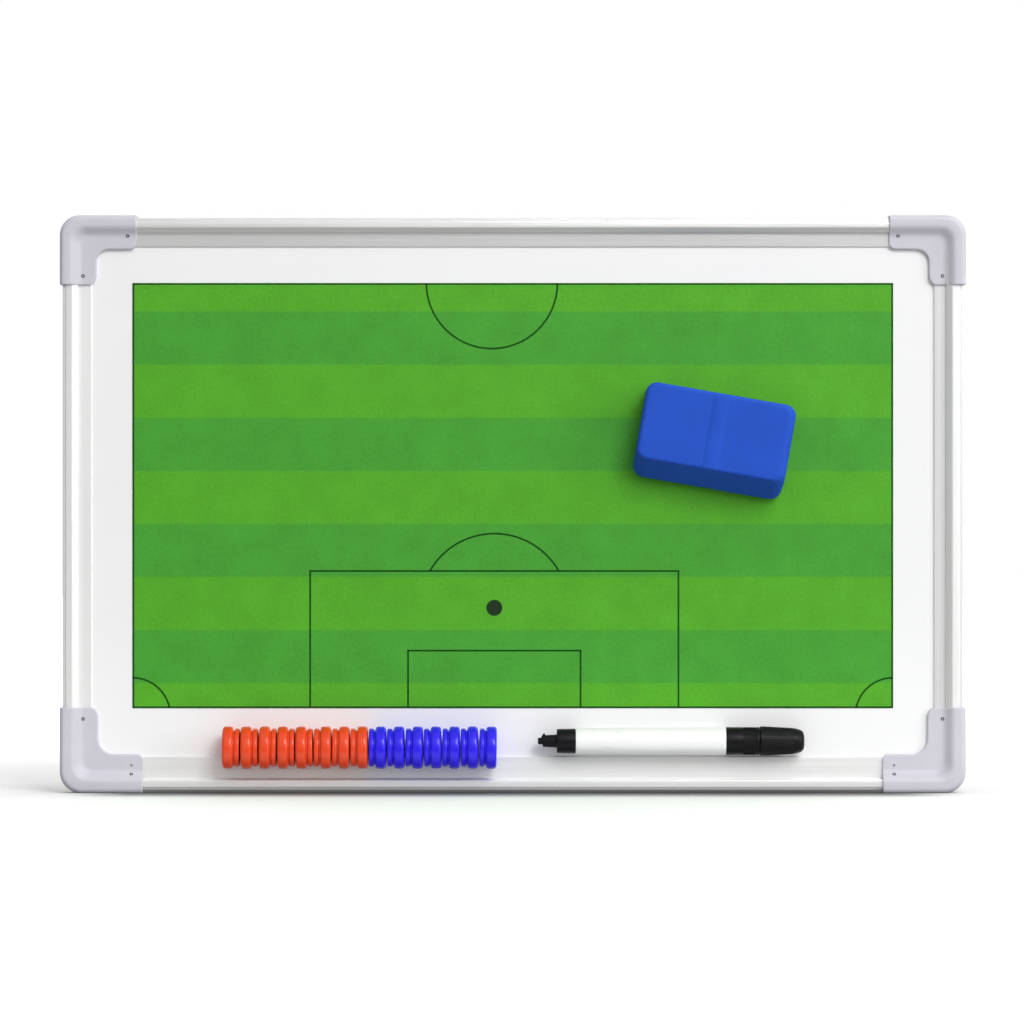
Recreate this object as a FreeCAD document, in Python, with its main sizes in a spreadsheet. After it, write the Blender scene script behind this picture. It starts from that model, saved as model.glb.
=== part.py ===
import FreeCAD
import Part
import Sketcher
import math
import os

# Magnetic tactics board: a steel-faced panel with a printed half pitch, held in four hollow rails and four
# moulded corner caps, with a row of disc magnets, a capped marker and an eraser on its face.
# X runs to the right, Y from the face to the wall behind, Z up. The origin lies midway between the two
# hanging holes, on the plane of the wall. Depths are measured forward from that plane, towards -Y.

doc = FreeCAD.newDocument("TacticsBoard")
sheet = doc.addObject("Spreadsheet::Sheet", "Sizes")

# Lengths are in millimetres. A name that ends in angle is in degrees, in share a ratio.
sizes = {
    # board and panel
    "board_wide": 450.0,
    "board_tall": 287.0,
    "back_sheet_thick": 0.4,
    "core_thick": 5.4,
    "steel_thick": 0.4,
    "film_thick": 0.2,
    "film_side_margin": 20.2,
    "film_top_margin": 17.9,
    "film_foot_margin": 23.9,
    "panel_play": 0.2,
    # rails
    "rail_wide": 14.2,
    "rail_crest_wide": 4.3,
    "ledge_wide": 16.7,
    "ledge_crest_wide": 5.0,
    "rail_slope_run": 3.1,
    "rail_bead_rise": 3.6,
    "rail_flange_thick": 1.0,
    "rail_rear_lip_thick": 1.0,
    "rail_rear_lip_reach": 3.0,
    "rail_shoulder_round": 1.5,
    "rail_lip_round": 0.6,
    "rail_wall": 1.1,
    "rail_slope_wall_share": 0.455,
    "panel_slot_deep": 5.2,
    "rail_end_gap": 1.8,
    # corner caps
    "cap_wall": 1.4,
    "cap_back_wall": 1.6,
    "cap_plate": 1.35,
    "cap_fit": 0.15,
    "cap_crest_spare": 0.3,
    "cap_slope_wall": 0.8,
    "cap_round_spare": 0.3,
    "cap_shoulder_round": 2.2,
    "cap_inner_round": 6.5,
    "cap_end_round": 3.2,
    "top_cap_leg": 38.0,
    "top_cap_drop": 34.5,
    "top_cap_leg_wide": 16.8,
    "top_cap_side_wide": 18.1,
    "foot_cap_leg": 41.2,
    "foot_cap_rise": 41.2,
    "foot_cap_leg_wide": 18.5,
    "foot_cap_side_wide": 18.9,
    "tongue_long": 14.0,
    "hang_inset": 6.9,
    "hang_radius": 3.0,
    "hang_deep": 8.0,
    # pins that hold the caps on the rails
    "rivet_radius": 0.8,
    "rivet_sink": 0.15,
    "rivet_ring": 0.35,
    "rivet_end_inset": 4.4,
    "top_rivet_inset": 10.2,
    "side_rivet_inset": 11.4,
    "ledge_rivet_inset": 9.4,
    "ledge_rivet_end_inset": 5.7,
    # disc magnets
    "magnet_radius": 10.8,
    "magnet_thick": 8.75,
    "magnet_gap": 0.2,
    "magnet_rim_wide": 5.3,
    "magnet_base_radius": 10.1,
    "magnet_above_foot": 22.9,
    "magnet_row_start": 143.9,
    "magnet_rest_gap": 0.15,
    # marker
    "barrel_long": 74.6,
    "barrel_radius": 6.75,
    "barrel_wall": 1.2,
    "marker_fit": 0.15,
    "spigot_long": 6.0,
    "plug_long": 9.3,
    "plug_radius": 6.1,
    "plug_edge_bevel": 0.5,
    "stem_long": 7.0,
    "stem_radius": 3.2,
    "knob_long": 2.4,
    "knob_radius": 1.8,
    "barb_long": 0.9,
    "barb_wide": 1.4,
    "barb_rise": 0.6,
    "grip_long": 15.8,
    "grip_radius": 6.65,
    "neck_long": 6.6,
    "neck_radius": 5.8,
    "nose_long": 4.5,
    "nose_root_radius": 4.4,
    "nose_tip_radius": 2.5,
    "nib_radius": 1.65,
    "nib_bare_long": 3.0,
    "nib_point_long": 1.3,
    "nib_point_radius": 0.5,
    "reservoir_radius": 4.2,
    "reservoir_set_back": 0.5,
    "marker_cap_gap": 1.9,
    "marker_cap_long": 21.3,
    "marker_cap_radius": 7.4,
    "marker_cap_end_radius": 6.1,
    "marker_cap_end_round": 4.0,
    "marker_cap_round_share": 0.293,
    "marker_cap_seal_long": 6.7,
    "marker_cap_bore_radius": 4.6,
    "marker_cap_magnet_radius": 4.0,
    "marker_cap_magnet_thick": 3.0,
    "marker_cap_magnet_fit": 0.1,
    "marker_cap_end_wall": 1.3,
    "marker_start": 31.1,
    "marker_above_foot": 26.0,
    "marker_rest_gap": 0.2,
    # eraser
    "eraser_long": 77.0,
    "eraser_tall": 49.0,
    "eraser_corner_round": 6.0,
    "eraser_face_round": 5.0,
    "eraser_felt_thick": 4.0,
    "eraser_felt_inset": 1.0,
    "eraser_rim_deep": 10.0,
    "eraser_bevel_deep": 9.0,
    "eraser_rim_side_inset": 0.5,
    "eraser_rim_top_inset": 0.3,
    "eraser_rim_foot_inset": 3.5,
    "eraser_face_left_inset": 2.2,
    "eraser_face_right_inset": 3.3,
    "eraser_face_top_inset": 1.0,
    "eraser_face_foot_inset": 10.5,
    "eraser_band_wide": 7.5,
    "eraser_band_left": 2.5,
    "eraser_band_rise": 0.5,
    "eraser_band_inset": 1.6,
    "eraser_magnet_radius": 9.0,
    "eraser_magnet_thick": 4.0,
    "eraser_magnet_apart": 36.0,
    "eraser_magnet_fit": 0.1,
    "eraser_from_middle": 100.2,
    "eraser_above_foot": 175.5,
    "eraser_rest_gap": 0.1,
    "eraser_lean_angle": 9.3,
    # one overrun for every cut that has to pass clear through
    "overrun": 1.0,
}

# Each magnet of the row, left to right: which way its broad rim points and its lean in degrees
orange_ways = (1, 1, 1, 1, 1, -1, -1, -1)
orange_lean_angles = (0.7, -0.3, 0.4, -0.2, -0.6, 0.2, 0.5, -0.3)
blue_ways = (-1, -1, -1, -1, -1, -1, -1)
blue_lean_angles = (0.3, -0.4, 0.5, -0.5, 0.3, -0.6, 0.6)


class Size:
    """A dimension that holds its number and the cell formula that gives it."""

    def __init__(self, value, text):
        self.value = value
        self.text = text

    def __add__(self, other):
        other = sized(other)
        return Size(self.value + other.value, "(" + self.text + " + " + other.text + ")")

    def __sub__(self, other):
        other = sized(other)
        return Size(self.value - other.value, "(" + self.text + " - " + other.text + ")")

    def __mul__(self, other):
        other = sized(other)
        return Size(self.value * other.value, "(" + self.text + " * " + other.text + ")")

    def __truediv__(self, other):
        other = sized(other)
        return Size(self.value / other.value, "(" + self.text + " / " + other.text + ")")

    def __neg__(self):
        return Size(-self.value, "(0 - " + self.text + ")")


def sized(value):
    """A plain number as a Size; a Size comes back as it is."""
    if isinstance(value, Size):
        return value
    return Size(float(value), str(value))


class Cells:
    """The named dimensions, one attribute each."""


s = Cells()
for row, name in enumerate(sizes, start=1):
    sheet.set("A" + str(row), name)
    sheet.set("B" + str(row), str(sizes[name]))
    sheet.setAlias("B" + str(row), name)
    setattr(s, name, Size(sizes[name], "Sizes." + name))
doc.recompute()
zero = sized(0)


def bind(thing, path, size):
    """Tie one property of an object to the sheet."""
    thing.setExpression(path, size.text)


def new_body(label):
    body = doc.addObject("PartDesign::Body", label)
    body.Label = label
    return body


def place(thing, x, y, z):
    """Move a piece to a place that the sheet drives."""
    thing.Placement.Base = FreeCAD.Vector(x.value, y.value, z.value)
    bind(thing, "Placement.Base.x", x)
    bind(thing, "Placement.Base.y", y)
    bind(thing, "Placement.Base.z", z)


def new_sketch(body, name, role, lift=zero):
    """A sketch on one of the body's own planes, lifted along the plane's normal."""
    sketch = body.newObject("Sketcher::SketchObject", body.Name + "_" + name)
    plane = [item for item in body.Origin.OriginFeatures if item.Role == role][0]
    sketch.AttachmentSupport = [(plane, "")]
    sketch.MapMode = "FlatFace"
    sketch.AttachmentOffset = FreeCAD.Placement(FreeCAD.Vector(0, 0, lift.value), FreeCAD.Rotation())
    bind(sketch, "AttachmentOffset.Base.z", lift)
    return sketch


def hold_point(sketch, edge, end, x, y):
    """Fix one point of a sketch by its two distances from the sketch's origin."""
    across = sketch.addConstraint(Sketcher.Constraint("DistanceX", -1, 1, edge, end, x.value))
    up = sketch.addConstraint(Sketcher.Constraint("DistanceY", -1, 1, edge, end, y.value))
    bind(sketch, "Constraints[" + str(across) + "]", x)
    bind(sketch, "Constraints[" + str(up) + "]", y)


def draw(sketch, steps, closed=True):
    """Draw an outline: a step (x, y) starts a straight edge, (x, y, radius, way) an arc, left for way 1."""
    points = [FreeCAD.Vector(step[0].value, step[1].value, 0) for step in steps]
    count = len(steps) if closed else len(steps) - 1
    ends = []
    for index in range(count):
        here = points[index]
        there = points[(index + 1) % len(points)]
        if len(steps[index]) == 2:
            edge = sketch.addGeometry(Part.LineSegment(here, there), False)
            ends.append((edge, 1, 2))
            continue
        radius = steps[index][2]
        way = steps[index][3]
        chord = there - here
        rise = math.sqrt(max(radius.value ** 2 - chord.Length ** 2 / 4, 0))
        side = FreeCAD.Vector(-chord.y, chord.x, 0).normalize()
        centre = (here + there) * 0.5 + side * (rise * way)
        first = here if way > 0 else there
        last = there if way > 0 else here
        start = math.atan2(first.y - centre.y, first.x - centre.x)
        stop = math.atan2(last.y - centre.y, last.x - centre.x)
        ring = Part.Circle(centre, FreeCAD.Vector(0, 0, 1), radius.value)
        edge = sketch.addGeometry(Part.ArcOfCircle(ring, start, stop), False)
        held = sketch.addConstraint(Sketcher.Constraint("Radius", edge, radius.value))
        bind(sketch, "Constraints[" + str(held) + "]", radius)
        ends.append((edge, 1, 2) if way > 0 else (edge, 2, 1))
    for index in range(count):
        edge, start, stop = ends[index]
        hold_point(sketch, edge, start, steps[index][0], steps[index][1])
        if index > 0 or closed:
            before = ends[index - 1]
            sketch.addConstraint(Sketcher.Constraint("Coincident", before[0], before[2], edge, start))
    if not closed:
        hold_point(sketch, ends[-1][0], ends[-1][2], steps[-1][0], steps[-1][1])


def draw_circle(sketch, x, y, radius):
    ring = Part.Circle(FreeCAD.Vector(x.value, y.value, 0), FreeCAD.Vector(0, 0, 1), radius.value)
    edge = sketch.addGeometry(ring, False)
    held = sketch.addConstraint(Sketcher.Constraint("Radius", edge, radius.value))
    bind(sketch, "Constraints[" + str(held) + "]", radius)
    hold_point(sketch, edge, 3, x, y)


def draw_box(sketch, left, low, right, high):
    draw(sketch, [(left, low), (right, low), (right, high), (left, high)])


def draw_rounded(sketch, left, low, right, high, radius):
    """A rectangle with four round corners, drawn leftwards round."""
    draw(sketch, [
        (left + radius, low),
        (right - radius, low, radius, 1),
        (right, low + radius),
        (right, high - radius, radius, 1),
        (right - radius, high),
        (left + radius, high, radius, 1),
        (left, high - radius),
        (left, low + radius, radius, 1),
    ])


def pad(body, sketch, length, flip=False, both=False):
    doc.recompute()
    feature = body.newObject("PartDesign::Pad", sketch.Name + "_pad")
    feature.Profile = sketch
    feature.Reversed = flip
    if both:
        feature.SideType = "Symmetric"
    bind(feature, "Length", length)
    doc.recompute()
    return feature


def pocket(body, sketch, length, flip=False):
    """Cut a sketch into the body; a cut that takes nothing away stops the build."""
    doc.recompute()
    before = body.Shape.Volume
    feature = body.newObject("PartDesign::Pocket", sketch.Name + "_pocket")
    feature.Profile = sketch
    feature.Reversed = flip
    bind(feature, "Length", length)
    doc.recompute()
    if not body.Shape.Volume < before:
        raise RuntimeError(feature.Name + " cuts nothing")
    return feature


def turn(body, sketch):
    """Turn a half profile once round the sketch's own horizontal axis."""
    doc.recompute()
    feature = body.newObject("PartDesign::Revolution", sketch.Name + "_turned")
    feature.Profile = sketch
    feature.ReferenceAxis = (sketch, ["H_Axis"])
    feature.Angle = 360
    doc.recompute()
    return feature


def turned_body(label, steps):
    """A piece turned round X from a half profile of (along, radius) steps."""
    body = new_body(label)
    sketch = new_sketch(body, "profile", "XY_Plane")
    draw(sketch, steps)
    turn(body, sketch)
    return body


def sheet_box(label, wide, tall, low, back, thick):
    """A flat sheet, centred left to right, from its lower edge and its rear depth."""
    box = doc.addObject("Part::Box", label)
    box.Label = label
    bind(box, "Length", wide)
    bind(box, "Width", thick)
    bind(box, "Height", tall)
    place(box, -wide / 2, -back - thick, low)
    return box


# Edges of the board, and the depths of its layers
half_wide = s.board_wide / 2
top_edge = s.hang_inset
foot_edge = s.hang_inset - s.board_tall
panel_back = s.cap_back_wall + s.rail_rear_lip_thick
core_back = panel_back + s.back_sheet_thick
steel_back = core_back + s.core_thick
panel_front = steel_back + s.steel_thick
film_front = panel_front + s.film_thick
flange_front = panel_front + s.rail_flange_thick
rail_crest = flange_front + s.rail_bead_rise
cap_front = flange_front + s.cap_fit + s.cap_plate
cap_crest = rail_crest + s.cap_fit + s.cap_plate

# Where the rails end: past the inner edge of the rail that runs across them
side_stop = s.cap_wall + s.rail_wide + s.rail_end_gap
foot_stop = s.cap_wall + s.ledge_wide + s.rail_end_gap

# Panel: backing sheet, core, coated steel sheet and the printed film on its face
panel_inset = s.cap_wall + s.rail_wide - s.panel_slot_deep + s.panel_play
panel_foot_inset = s.cap_wall + s.ledge_wide - s.panel_slot_deep + s.panel_play
panel_wide = s.board_wide - panel_inset * 2
panel_tall = s.board_tall - panel_inset - panel_foot_inset
panel_low = foot_edge + panel_foot_inset
back_sheet = sheet_box("back_sheet", panel_wide, panel_tall, panel_low, panel_back, s.back_sheet_thick)
core_board = sheet_box("core_board", panel_wide, panel_tall, panel_low, core_back, s.core_thick)
steel_sheet = sheet_box("steel_sheet", panel_wide, panel_tall, panel_low, steel_back, s.steel_thick)
film_side = s.cap_wall + s.rail_wide + s.film_side_margin
film_low = foot_edge + s.cap_wall + s.ledge_wide + s.film_foot_margin
film_high = top_edge - s.cap_wall - s.rail_wide - s.film_top_margin
pitch_film = sheet_box("pitch_film", s.board_wide - film_side * 2, film_high - film_low,
                       film_low, panel_front, s.film_thick)


def rail_section(sketch, wide, crest_wide, point, way):
    """Rail section by (inset from the outer edge, depth): bead, slope, flange and rear lip round a hollow."""
    slope_end = crest_wide + s.rail_slope_run
    slot_floor = wide - s.panel_slot_deep
    lip_end = slot_floor + s.rail_rear_lip_reach
    shoulder = s.rail_shoulder_round
    lip = s.rail_lip_round
    wall = s.rail_wall
    shift = wall * s.rail_slope_wall_share
    draw(sketch, [
        point(zero, s.cap_back_wall),
        point(zero, rail_crest - shoulder) + (shoulder, -way),
        point(shoulder, rail_crest),
        point(crest_wide, rail_crest),
        point(slope_end, flange_front),
        point(wide - lip, flange_front) + (lip, -way),
        point(wide, flange_front - lip),
        point(wide, panel_front),
        point(slot_floor, panel_front),
        point(slot_floor, panel_back),
        point(lip_end, panel_back),
        point(lip_end, s.cap_back_wall),
    ])
    draw(sketch, [
        point(wall, panel_back),
        point(wall, rail_crest - shoulder),
        point(shoulder, rail_crest - wall),
        point(crest_wide - shift, rail_crest - wall),
        point(slope_end - shift, flange_front - wall),
        point(slot_floor - wall, flange_front - wall),
        point(slot_floor - wall, panel_back),
    ])


# Pins: their places by (X, Z) on the left half; the right half mirrors them
top_pin = (s.top_cap_leg - s.rivet_end_inset - half_wide, top_edge - s.top_rivet_inset)
upper_pin = (s.side_rivet_inset - half_wide, top_edge - s.top_cap_drop + s.rivet_end_inset)
lower_pin = (s.side_rivet_inset - half_wide, foot_edge + s.foot_cap_rise - s.rivet_end_inset)
foot_pin = (s.foot_cap_leg - s.ledge_rivet_end_inset - half_wide, foot_edge + s.ledge_rivet_inset)
pin_hole = s.rivet_radius + s.rivet_ring

# Rails: top and bottom run along X, the sides along Z
top_rail = new_body("top_rail")
top_section = new_sketch(top_rail, "section", "YZ_Plane")
rail_section(top_section, s.rail_wide, s.rail_crest_wide,
             lambda inset, depth: (-depth, top_edge - s.cap_wall - inset), -1)
pad(top_rail, top_section, s.board_wide - side_stop * 2, both=True)

bottom_rail = new_body("bottom_rail")
bottom_section = new_sketch(bottom_rail, "section", "YZ_Plane")
rail_section(bottom_section, s.ledge_wide, s.ledge_crest_wide,
             lambda inset, depth: (-depth, foot_edge + s.cap_wall + inset), 1)
pad(bottom_rail, bottom_section, s.board_wide - side_stop * 2, both=True)
pin_seats = new_sketch(bottom_rail, "pin_seats", "XZ_Plane", flange_front)
draw_circle(pin_seats, foot_pin[0], foot_pin[1], pin_hole)
draw_circle(pin_seats, -foot_pin[0], foot_pin[1], pin_hole)
pocket(bottom_rail, pin_seats, rail_crest - flange_front + s.overrun, flip=True)

side_rail_long = s.board_tall - side_stop - foot_stop
left_rail = new_body("left_rail")
left_section = new_sketch(left_rail, "section", "XY_Plane", foot_edge + foot_stop)
rail_section(left_section, s.rail_wide, s.rail_crest_wide,
             lambda inset, depth: (s.cap_wall + inset - half_wide, -depth), -1)
pad(left_rail, left_section, side_rail_long)


def mirror_image(label, source):
    """The same moulding or extrusion for the other side of the board."""
    image = doc.addObject("Part::Mirroring", label)
    image.Label = label
    image.Source = source
    image.Normal = FreeCAD.Vector(1, 0, 0)
    return image


right_rail = mirror_image("right_rail", left_rail)


def corner_cap(label, edge, way, leg, drop, leg_wide, side_wide, wide, crest_wide):
    """Left-hand corner cap: an L-shaped sleeve with a bead round its outer corner; way 1 is a foot cap."""
    body = new_body(label)
    slope_end = s.cap_wall + crest_wide + s.rail_slope_run + s.cap_slope_wall
    corner = slope_end + s.cap_round_spare
    inner = s.cap_inner_round
    end = s.cap_end_round
    leg_stop = side_stop
    drop_stop = s.cap_wall + wide + s.rail_end_gap
    far = s.overrun

    def flat(a, b):
        return (a - half_wide, edge + b * way)

    def across_leg(b, depth):
        return (-depth, edge + b * way)

    def across_drop(a, depth):
        return (a - half_wide, -depth)

    block = new_sketch(body, "block", "XZ_Plane")
    draw(block, [
        flat(corner, zero),
        flat(leg, zero),
        flat(leg, leg_wide - end) + (end, way),
        flat(leg - end, leg_wide),
        flat(side_wide + inner, leg_wide) + (inner, -way),
        flat(side_wide, leg_wide + inner),
        flat(side_wide, drop - end) + (end, way),
        flat(side_wide - end, drop),
        flat(zero, drop),
        flat(zero, corner) + (corner, way),
    ])
    pad(body, block, cap_front)

    # The bead stands on the block and follows its outer edge round the corner
    spine = new_sketch(body, "bead_path", "XZ_Plane")
    draw(spine, [
        flat(leg, zero),
        flat(corner, zero) + (corner, -way),
        flat(zero, corner),
        flat(zero, drop),
    ], closed=False)
    bead = new_sketch(body, "bead", "YZ_Plane", leg - half_wide)
    shoulder = s.cap_shoulder_round
    draw(bead, [
        across_leg(zero, flange_front),
        across_leg(zero, cap_crest - shoulder) + (shoulder, -way),
        across_leg(shoulder, cap_crest),
        across_leg(s.cap_wall + crest_wide + s.cap_crest_spare, cap_crest),
        across_leg(slope_end, cap_front),
        across_leg(slope_end, flange_front),
    ])
    doc.recompute()
    pipe = body.newObject("PartDesign::AdditivePipe", label + "_bead_pipe")
    pipe.Profile = bead
    pipe.Spine = spine
    doc.recompute()

    # Channels that take the two rails
    def channel(sketch, point, channel_wide, channel_crest):
        draw(sketch, [
            point(s.cap_wall, s.cap_back_wall),
            point(s.cap_wall, rail_crest + s.cap_fit),
            point(s.cap_wall + channel_crest + s.cap_fit, rail_crest + s.cap_fit),
            point(s.cap_wall + channel_crest + s.rail_slope_run + s.cap_fit, flange_front + s.cap_fit),
            point(s.cap_wall + channel_wide + s.cap_fit, flange_front + s.cap_fit),
            point(s.cap_wall + channel_wide + s.cap_fit, s.cap_back_wall),
        ])

    leg_channel = new_sketch(body, "leg_channel", "YZ_Plane", leg - half_wide)
    channel(leg_channel, across_leg, wide, crest_wide)
    pocket(body, leg_channel, leg - leg_stop)
    drop_channel = new_sketch(body, "drop_channel", "XY_Plane", edge + drop * way)
    channel(drop_channel, across_drop, s.rail_wide, s.rail_crest_wide)
    pocket(body, drop_channel, drop - drop_stop, flip=way < 0)

    # Slot for the corner of the panel
    slot = new_sketch(body, "panel_slot", "XZ_Plane", panel_back)
    slot_a = s.cap_wall + s.rail_wide - s.panel_slot_deep
    slot_b = s.cap_wall + wide - s.panel_slot_deep
    draw(slot, [
        flat(slot_a, slot_b),
        flat(leg + far, slot_b),
        flat(leg + far, drop + far),
        flat(slot_a, drop + far),
    ])
    pocket(body, slot, panel_front - panel_back, flip=True)

    # Tongues that plug into the hollows of the rails
    tongue_front = flange_front - s.rail_wall - s.cap_fit
    tongue_low = s.cap_wall + s.rail_wall + s.cap_fit
    leg_tongue = new_sketch(body, "leg_tongue", "YZ_Plane", leg_stop - half_wide)
    leg_tongue_high = slot_b - s.rail_wall - s.cap_fit
    draw(leg_tongue, [
        across_leg(tongue_low, panel_back),
        across_leg(leg_tongue_high, panel_back),
        across_leg(leg_tongue_high, tongue_front),
        across_leg(tongue_low, tongue_front),
    ])
    pad(body, leg_tongue, s.tongue_long)
    drop_tongue = new_sketch(body, "drop_tongue", "XY_Plane", edge + drop_stop * way)
    drop_tongue_high = slot_a - s.rail_wall - s.cap_fit
    draw(drop_tongue, [
        across_drop(tongue_low, panel_back),
        across_drop(drop_tongue_high, panel_back),
        across_drop(drop_tongue_high, tongue_front),
        across_drop(tongue_low, tongue_front),
    ])
    pad(body, drop_tongue, s.tongue_long, flip=way < 0)
    return body


def drill_cap(body, pins):
    """Pin holes through the front plate, with a ring of air round each pin."""
    holes = new_sketch(body, "pin_holes", "XZ_Plane", panel_front)
    for x, z in pins:
        draw_circle(holes, x, z, pin_hole)
    pocket(body, holes, cap_crest - panel_front + s.overrun, flip=True)


corner_top_left = corner_cap("corner_top_left", top_edge, -1, s.top_cap_leg, s.top_cap_drop,
                             s.top_cap_leg_wide, s.top_cap_side_wide, s.rail_wide, s.rail_crest_wide)
drill_cap(corner_top_left, [top_pin, upper_pin])
hang_sketch = new_sketch(corner_top_left, "hang_hole", "XZ_Plane")
draw_circle(hang_sketch, s.hang_inset - half_wide, top_edge - s.hang_inset, s.hang_radius)
pocket(corner_top_left, hang_sketch, s.hang_deep, flip=True)
corner_top_right = mirror_image("corner_top_right", corner_top_left)

corner_bottom_left = corner_cap("corner_bottom_left", foot_edge, 1, s.foot_cap_leg, s.foot_cap_rise,
                                s.foot_cap_leg_wide, s.foot_cap_side_wide, s.ledge_wide, s.ledge_crest_wide)
drill_cap(corner_bottom_left, [lower_pin, foot_pin])
corner_bottom_right = mirror_image("corner_bottom_right", corner_bottom_left)


def rivet(name, pin):
    """One pin, from the flange of the rail through the cap to just under the cap's face."""
    shank = doc.addObject("Part::Cylinder", name)
    bind(shank, "Radius", s.rivet_radius)
    bind(shank, "Height", cap_front - flange_front - s.rivet_sink)
    shank.Placement.Rotation = FreeCAD.Rotation(FreeCAD.Vector(1, 0, 0), 90)
    place(shank, pin[0], -flange_front, pin[1])
    return shank


def group(label, members):
    """Separate solids that share one node."""
    compound = doc.addObject("Part::Compound", label)
    compound.Label = label
    compound.Links = members
    return compound


left_pins = [top_pin, upper_pin, lower_pin, foot_pin]
corner_rivets = group("corner_rivets", [
    rivet("corner_rivet_" + str(index), pin)
    for index, pin in enumerate(left_pins + [(-x, z) for x, z in left_pins], start=1)
])

# Disc magnet: a moulded disc with a broad rim and a narrower base, its ferrite sealed inside
disc_magnet = turned_body("disc_magnet", [
    (zero, zero),
    (zero, s.magnet_radius),
    (s.magnet_rim_wide, s.magnet_radius),
    (s.magnet_rim_wide, s.magnet_base_radius),
    (s.magnet_thick, s.magnet_base_radius),
    (s.magnet_thick, zero),
])
magnet_depth = panel_front + s.magnet_radius + s.magnet_rest_gap
magnet_height = foot_edge + s.magnet_above_foot


def copy_of(label, source, placement):
    link = doc.addObject("App::Link", label)
    link.Label = label
    link.LinkedObject = source
    link.Placement = placement
    return link


def magnet_row(colour, start, ways, leans):
    """Magnets on edge along X, as close as their leans let them stand; gives the pieces and the row's end."""
    pieces = []
    reach = s.magnet_radius.value
    edge = start
    for index, way in enumerate(ways):
        lean = math.radians(leans[index])
        half = s.magnet_thick.value / 2 / math.cos(lean)
        middle = edge + half
        spin = FreeCAD.Rotation(FreeCAD.Vector(0, 1, 0), leans[index])
        flip = FreeCAD.Rotation(FreeCAD.Vector(0, 0, 1), 0 if way > 0 else 180)
        centre = FreeCAD.Vector(middle, -magnet_depth.value, magnet_height.value)
        to_middle = FreeCAD.Vector(-s.magnet_thick.value / 2, 0, 0)
        placement = FreeCAD.Placement(centre, spin.multiply(flip))
        placement = placement.multiply(FreeCAD.Placement(to_middle, FreeCAD.Rotation()))
        pieces.append(copy_of(colour + "_magnet_" + str(index + 1), disc_magnet, placement))
        after = math.radians(leans[index + 1]) if index + 1 < len(leans) else 0
        edge = middle + half + s.magnet_gap.value + reach * abs(math.tan(lean) - math.tan(after))
    return pieces, edge


orange_magnets, orange_end = magnet_row("orange", -s.magnet_row_start.value, orange_ways, orange_lean_angles)
blue_start = orange_end + s.magnet_radius.value * abs(math.tan(math.radians(blue_lean_angles[0])))
blue_magnets = magnet_row("blue", blue_start, blue_ways, blue_lean_angles)[0]

# Marker, along X: the barrel starts at 0 and the cap points right
bore = s.barrel_radius - s.barrel_wall
spigot = bore - s.marker_fit
grip_end = s.barrel_long + s.grip_long
neck_end = grip_end + s.neck_long
nose_end = neck_end + s.nose_long
nib_end = nose_end + s.nib_bare_long
cap_start = grip_end + s.marker_cap_gap
cap_end = cap_start + s.marker_cap_long
reservoir_end = grip_end - s.reservoir_set_back
marker_barrel = turned_body("marker_barrel", [
    (zero, bore),
    (zero, s.barrel_radius),
    (s.barrel_long, s.barrel_radius),
    (s.barrel_long, bore),
])
marker_end_plug = turned_body("marker_end_plug", [
    (-s.plug_long - s.stem_long - s.knob_long, zero),
    (-s.plug_long - s.stem_long - s.knob_long, s.knob_radius),
    (-s.plug_long - s.stem_long, s.knob_radius),
    (-s.plug_long - s.stem_long, s.stem_radius),
    (-s.plug_long, s.stem_radius),
    (-s.plug_long, s.plug_radius - s.plug_edge_bevel),
    (s.plug_edge_bevel - s.plug_long, s.plug_radius),
    (zero, s.plug_radius),
    (zero, spigot),
    (s.spigot_long, spigot),
    (s.spigot_long, zero),
])
barb = new_sketch(marker_end_plug, "barb", "XZ_Plane")
barb_left = -s.plug_long - s.stem_long
draw_box(barb, barb_left, s.knob_radius, barb_left + s.barb_long, s.stem_radius + s.barb_rise)
pad(marker_end_plug, barb, s.barb_wide, both=True)

marker_front_section = turned_body("marker_front_section", [
    (s.barrel_long - s.spigot_long, s.reservoir_radius + s.marker_fit),
    (s.barrel_long - s.spigot_long, spigot),
    (s.barrel_long, spigot),
    (s.barrel_long, s.grip_radius),
    (grip_end, s.grip_radius),
    (grip_end, s.neck_radius),
    (neck_end, s.neck_radius),
    (neck_end, s.nose_root_radius),
    (nose_end, s.nose_tip_radius),
    (nose_end, s.nib_radius),
    (reservoir_end, s.nib_radius),
    (reservoir_end, s.reservoir_radius + s.marker_fit),
])
marker_nib = turned_body("marker_nib", [
    (reservoir_end, zero),
    (reservoir_end, s.nib_radius),
    (nib_end - s.nib_point_long, s.nib_radius),
    (nib_end, s.nib_point_radius),
    (nib_end, zero),
])
marker_ink_reservoir = turned_body("marker_ink_reservoir", [
    (s.spigot_long, zero),
    (s.spigot_long, s.reservoir_radius),
    (reservoir_end, s.reservoir_radius),
    (reservoir_end, zero),
])

seal_end = cap_start + s.marker_cap_seal_long
magnet_seat_end = cap_end - s.marker_cap_end_wall
magnet_seat_start = magnet_seat_end - s.marker_cap_magnet_thick
tip_round = s.marker_cap_end_round
tip_middle = tip_round * s.marker_cap_round_share
marker_cap = turned_body("marker_cap", [
    (cap_start, s.neck_radius + s.marker_fit),
    (cap_start, s.marker_cap_radius),
    (cap_end - tip_round, s.marker_cap_end_radius),
    (cap_end - tip_middle, s.marker_cap_end_radius - tip_middle),
    (cap_end, s.marker_cap_end_radius - tip_round),
    (cap_end, zero),
    (magnet_seat_end, zero),
    (magnet_seat_end, s.marker_cap_magnet_radius),
    (magnet_seat_start, s.marker_cap_magnet_radius),
    (magnet_seat_start, s.marker_cap_bore_radius),
    (seal_end, s.marker_cap_bore_radius),
    (seal_end, s.neck_radius + s.marker_fit),
])
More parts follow.
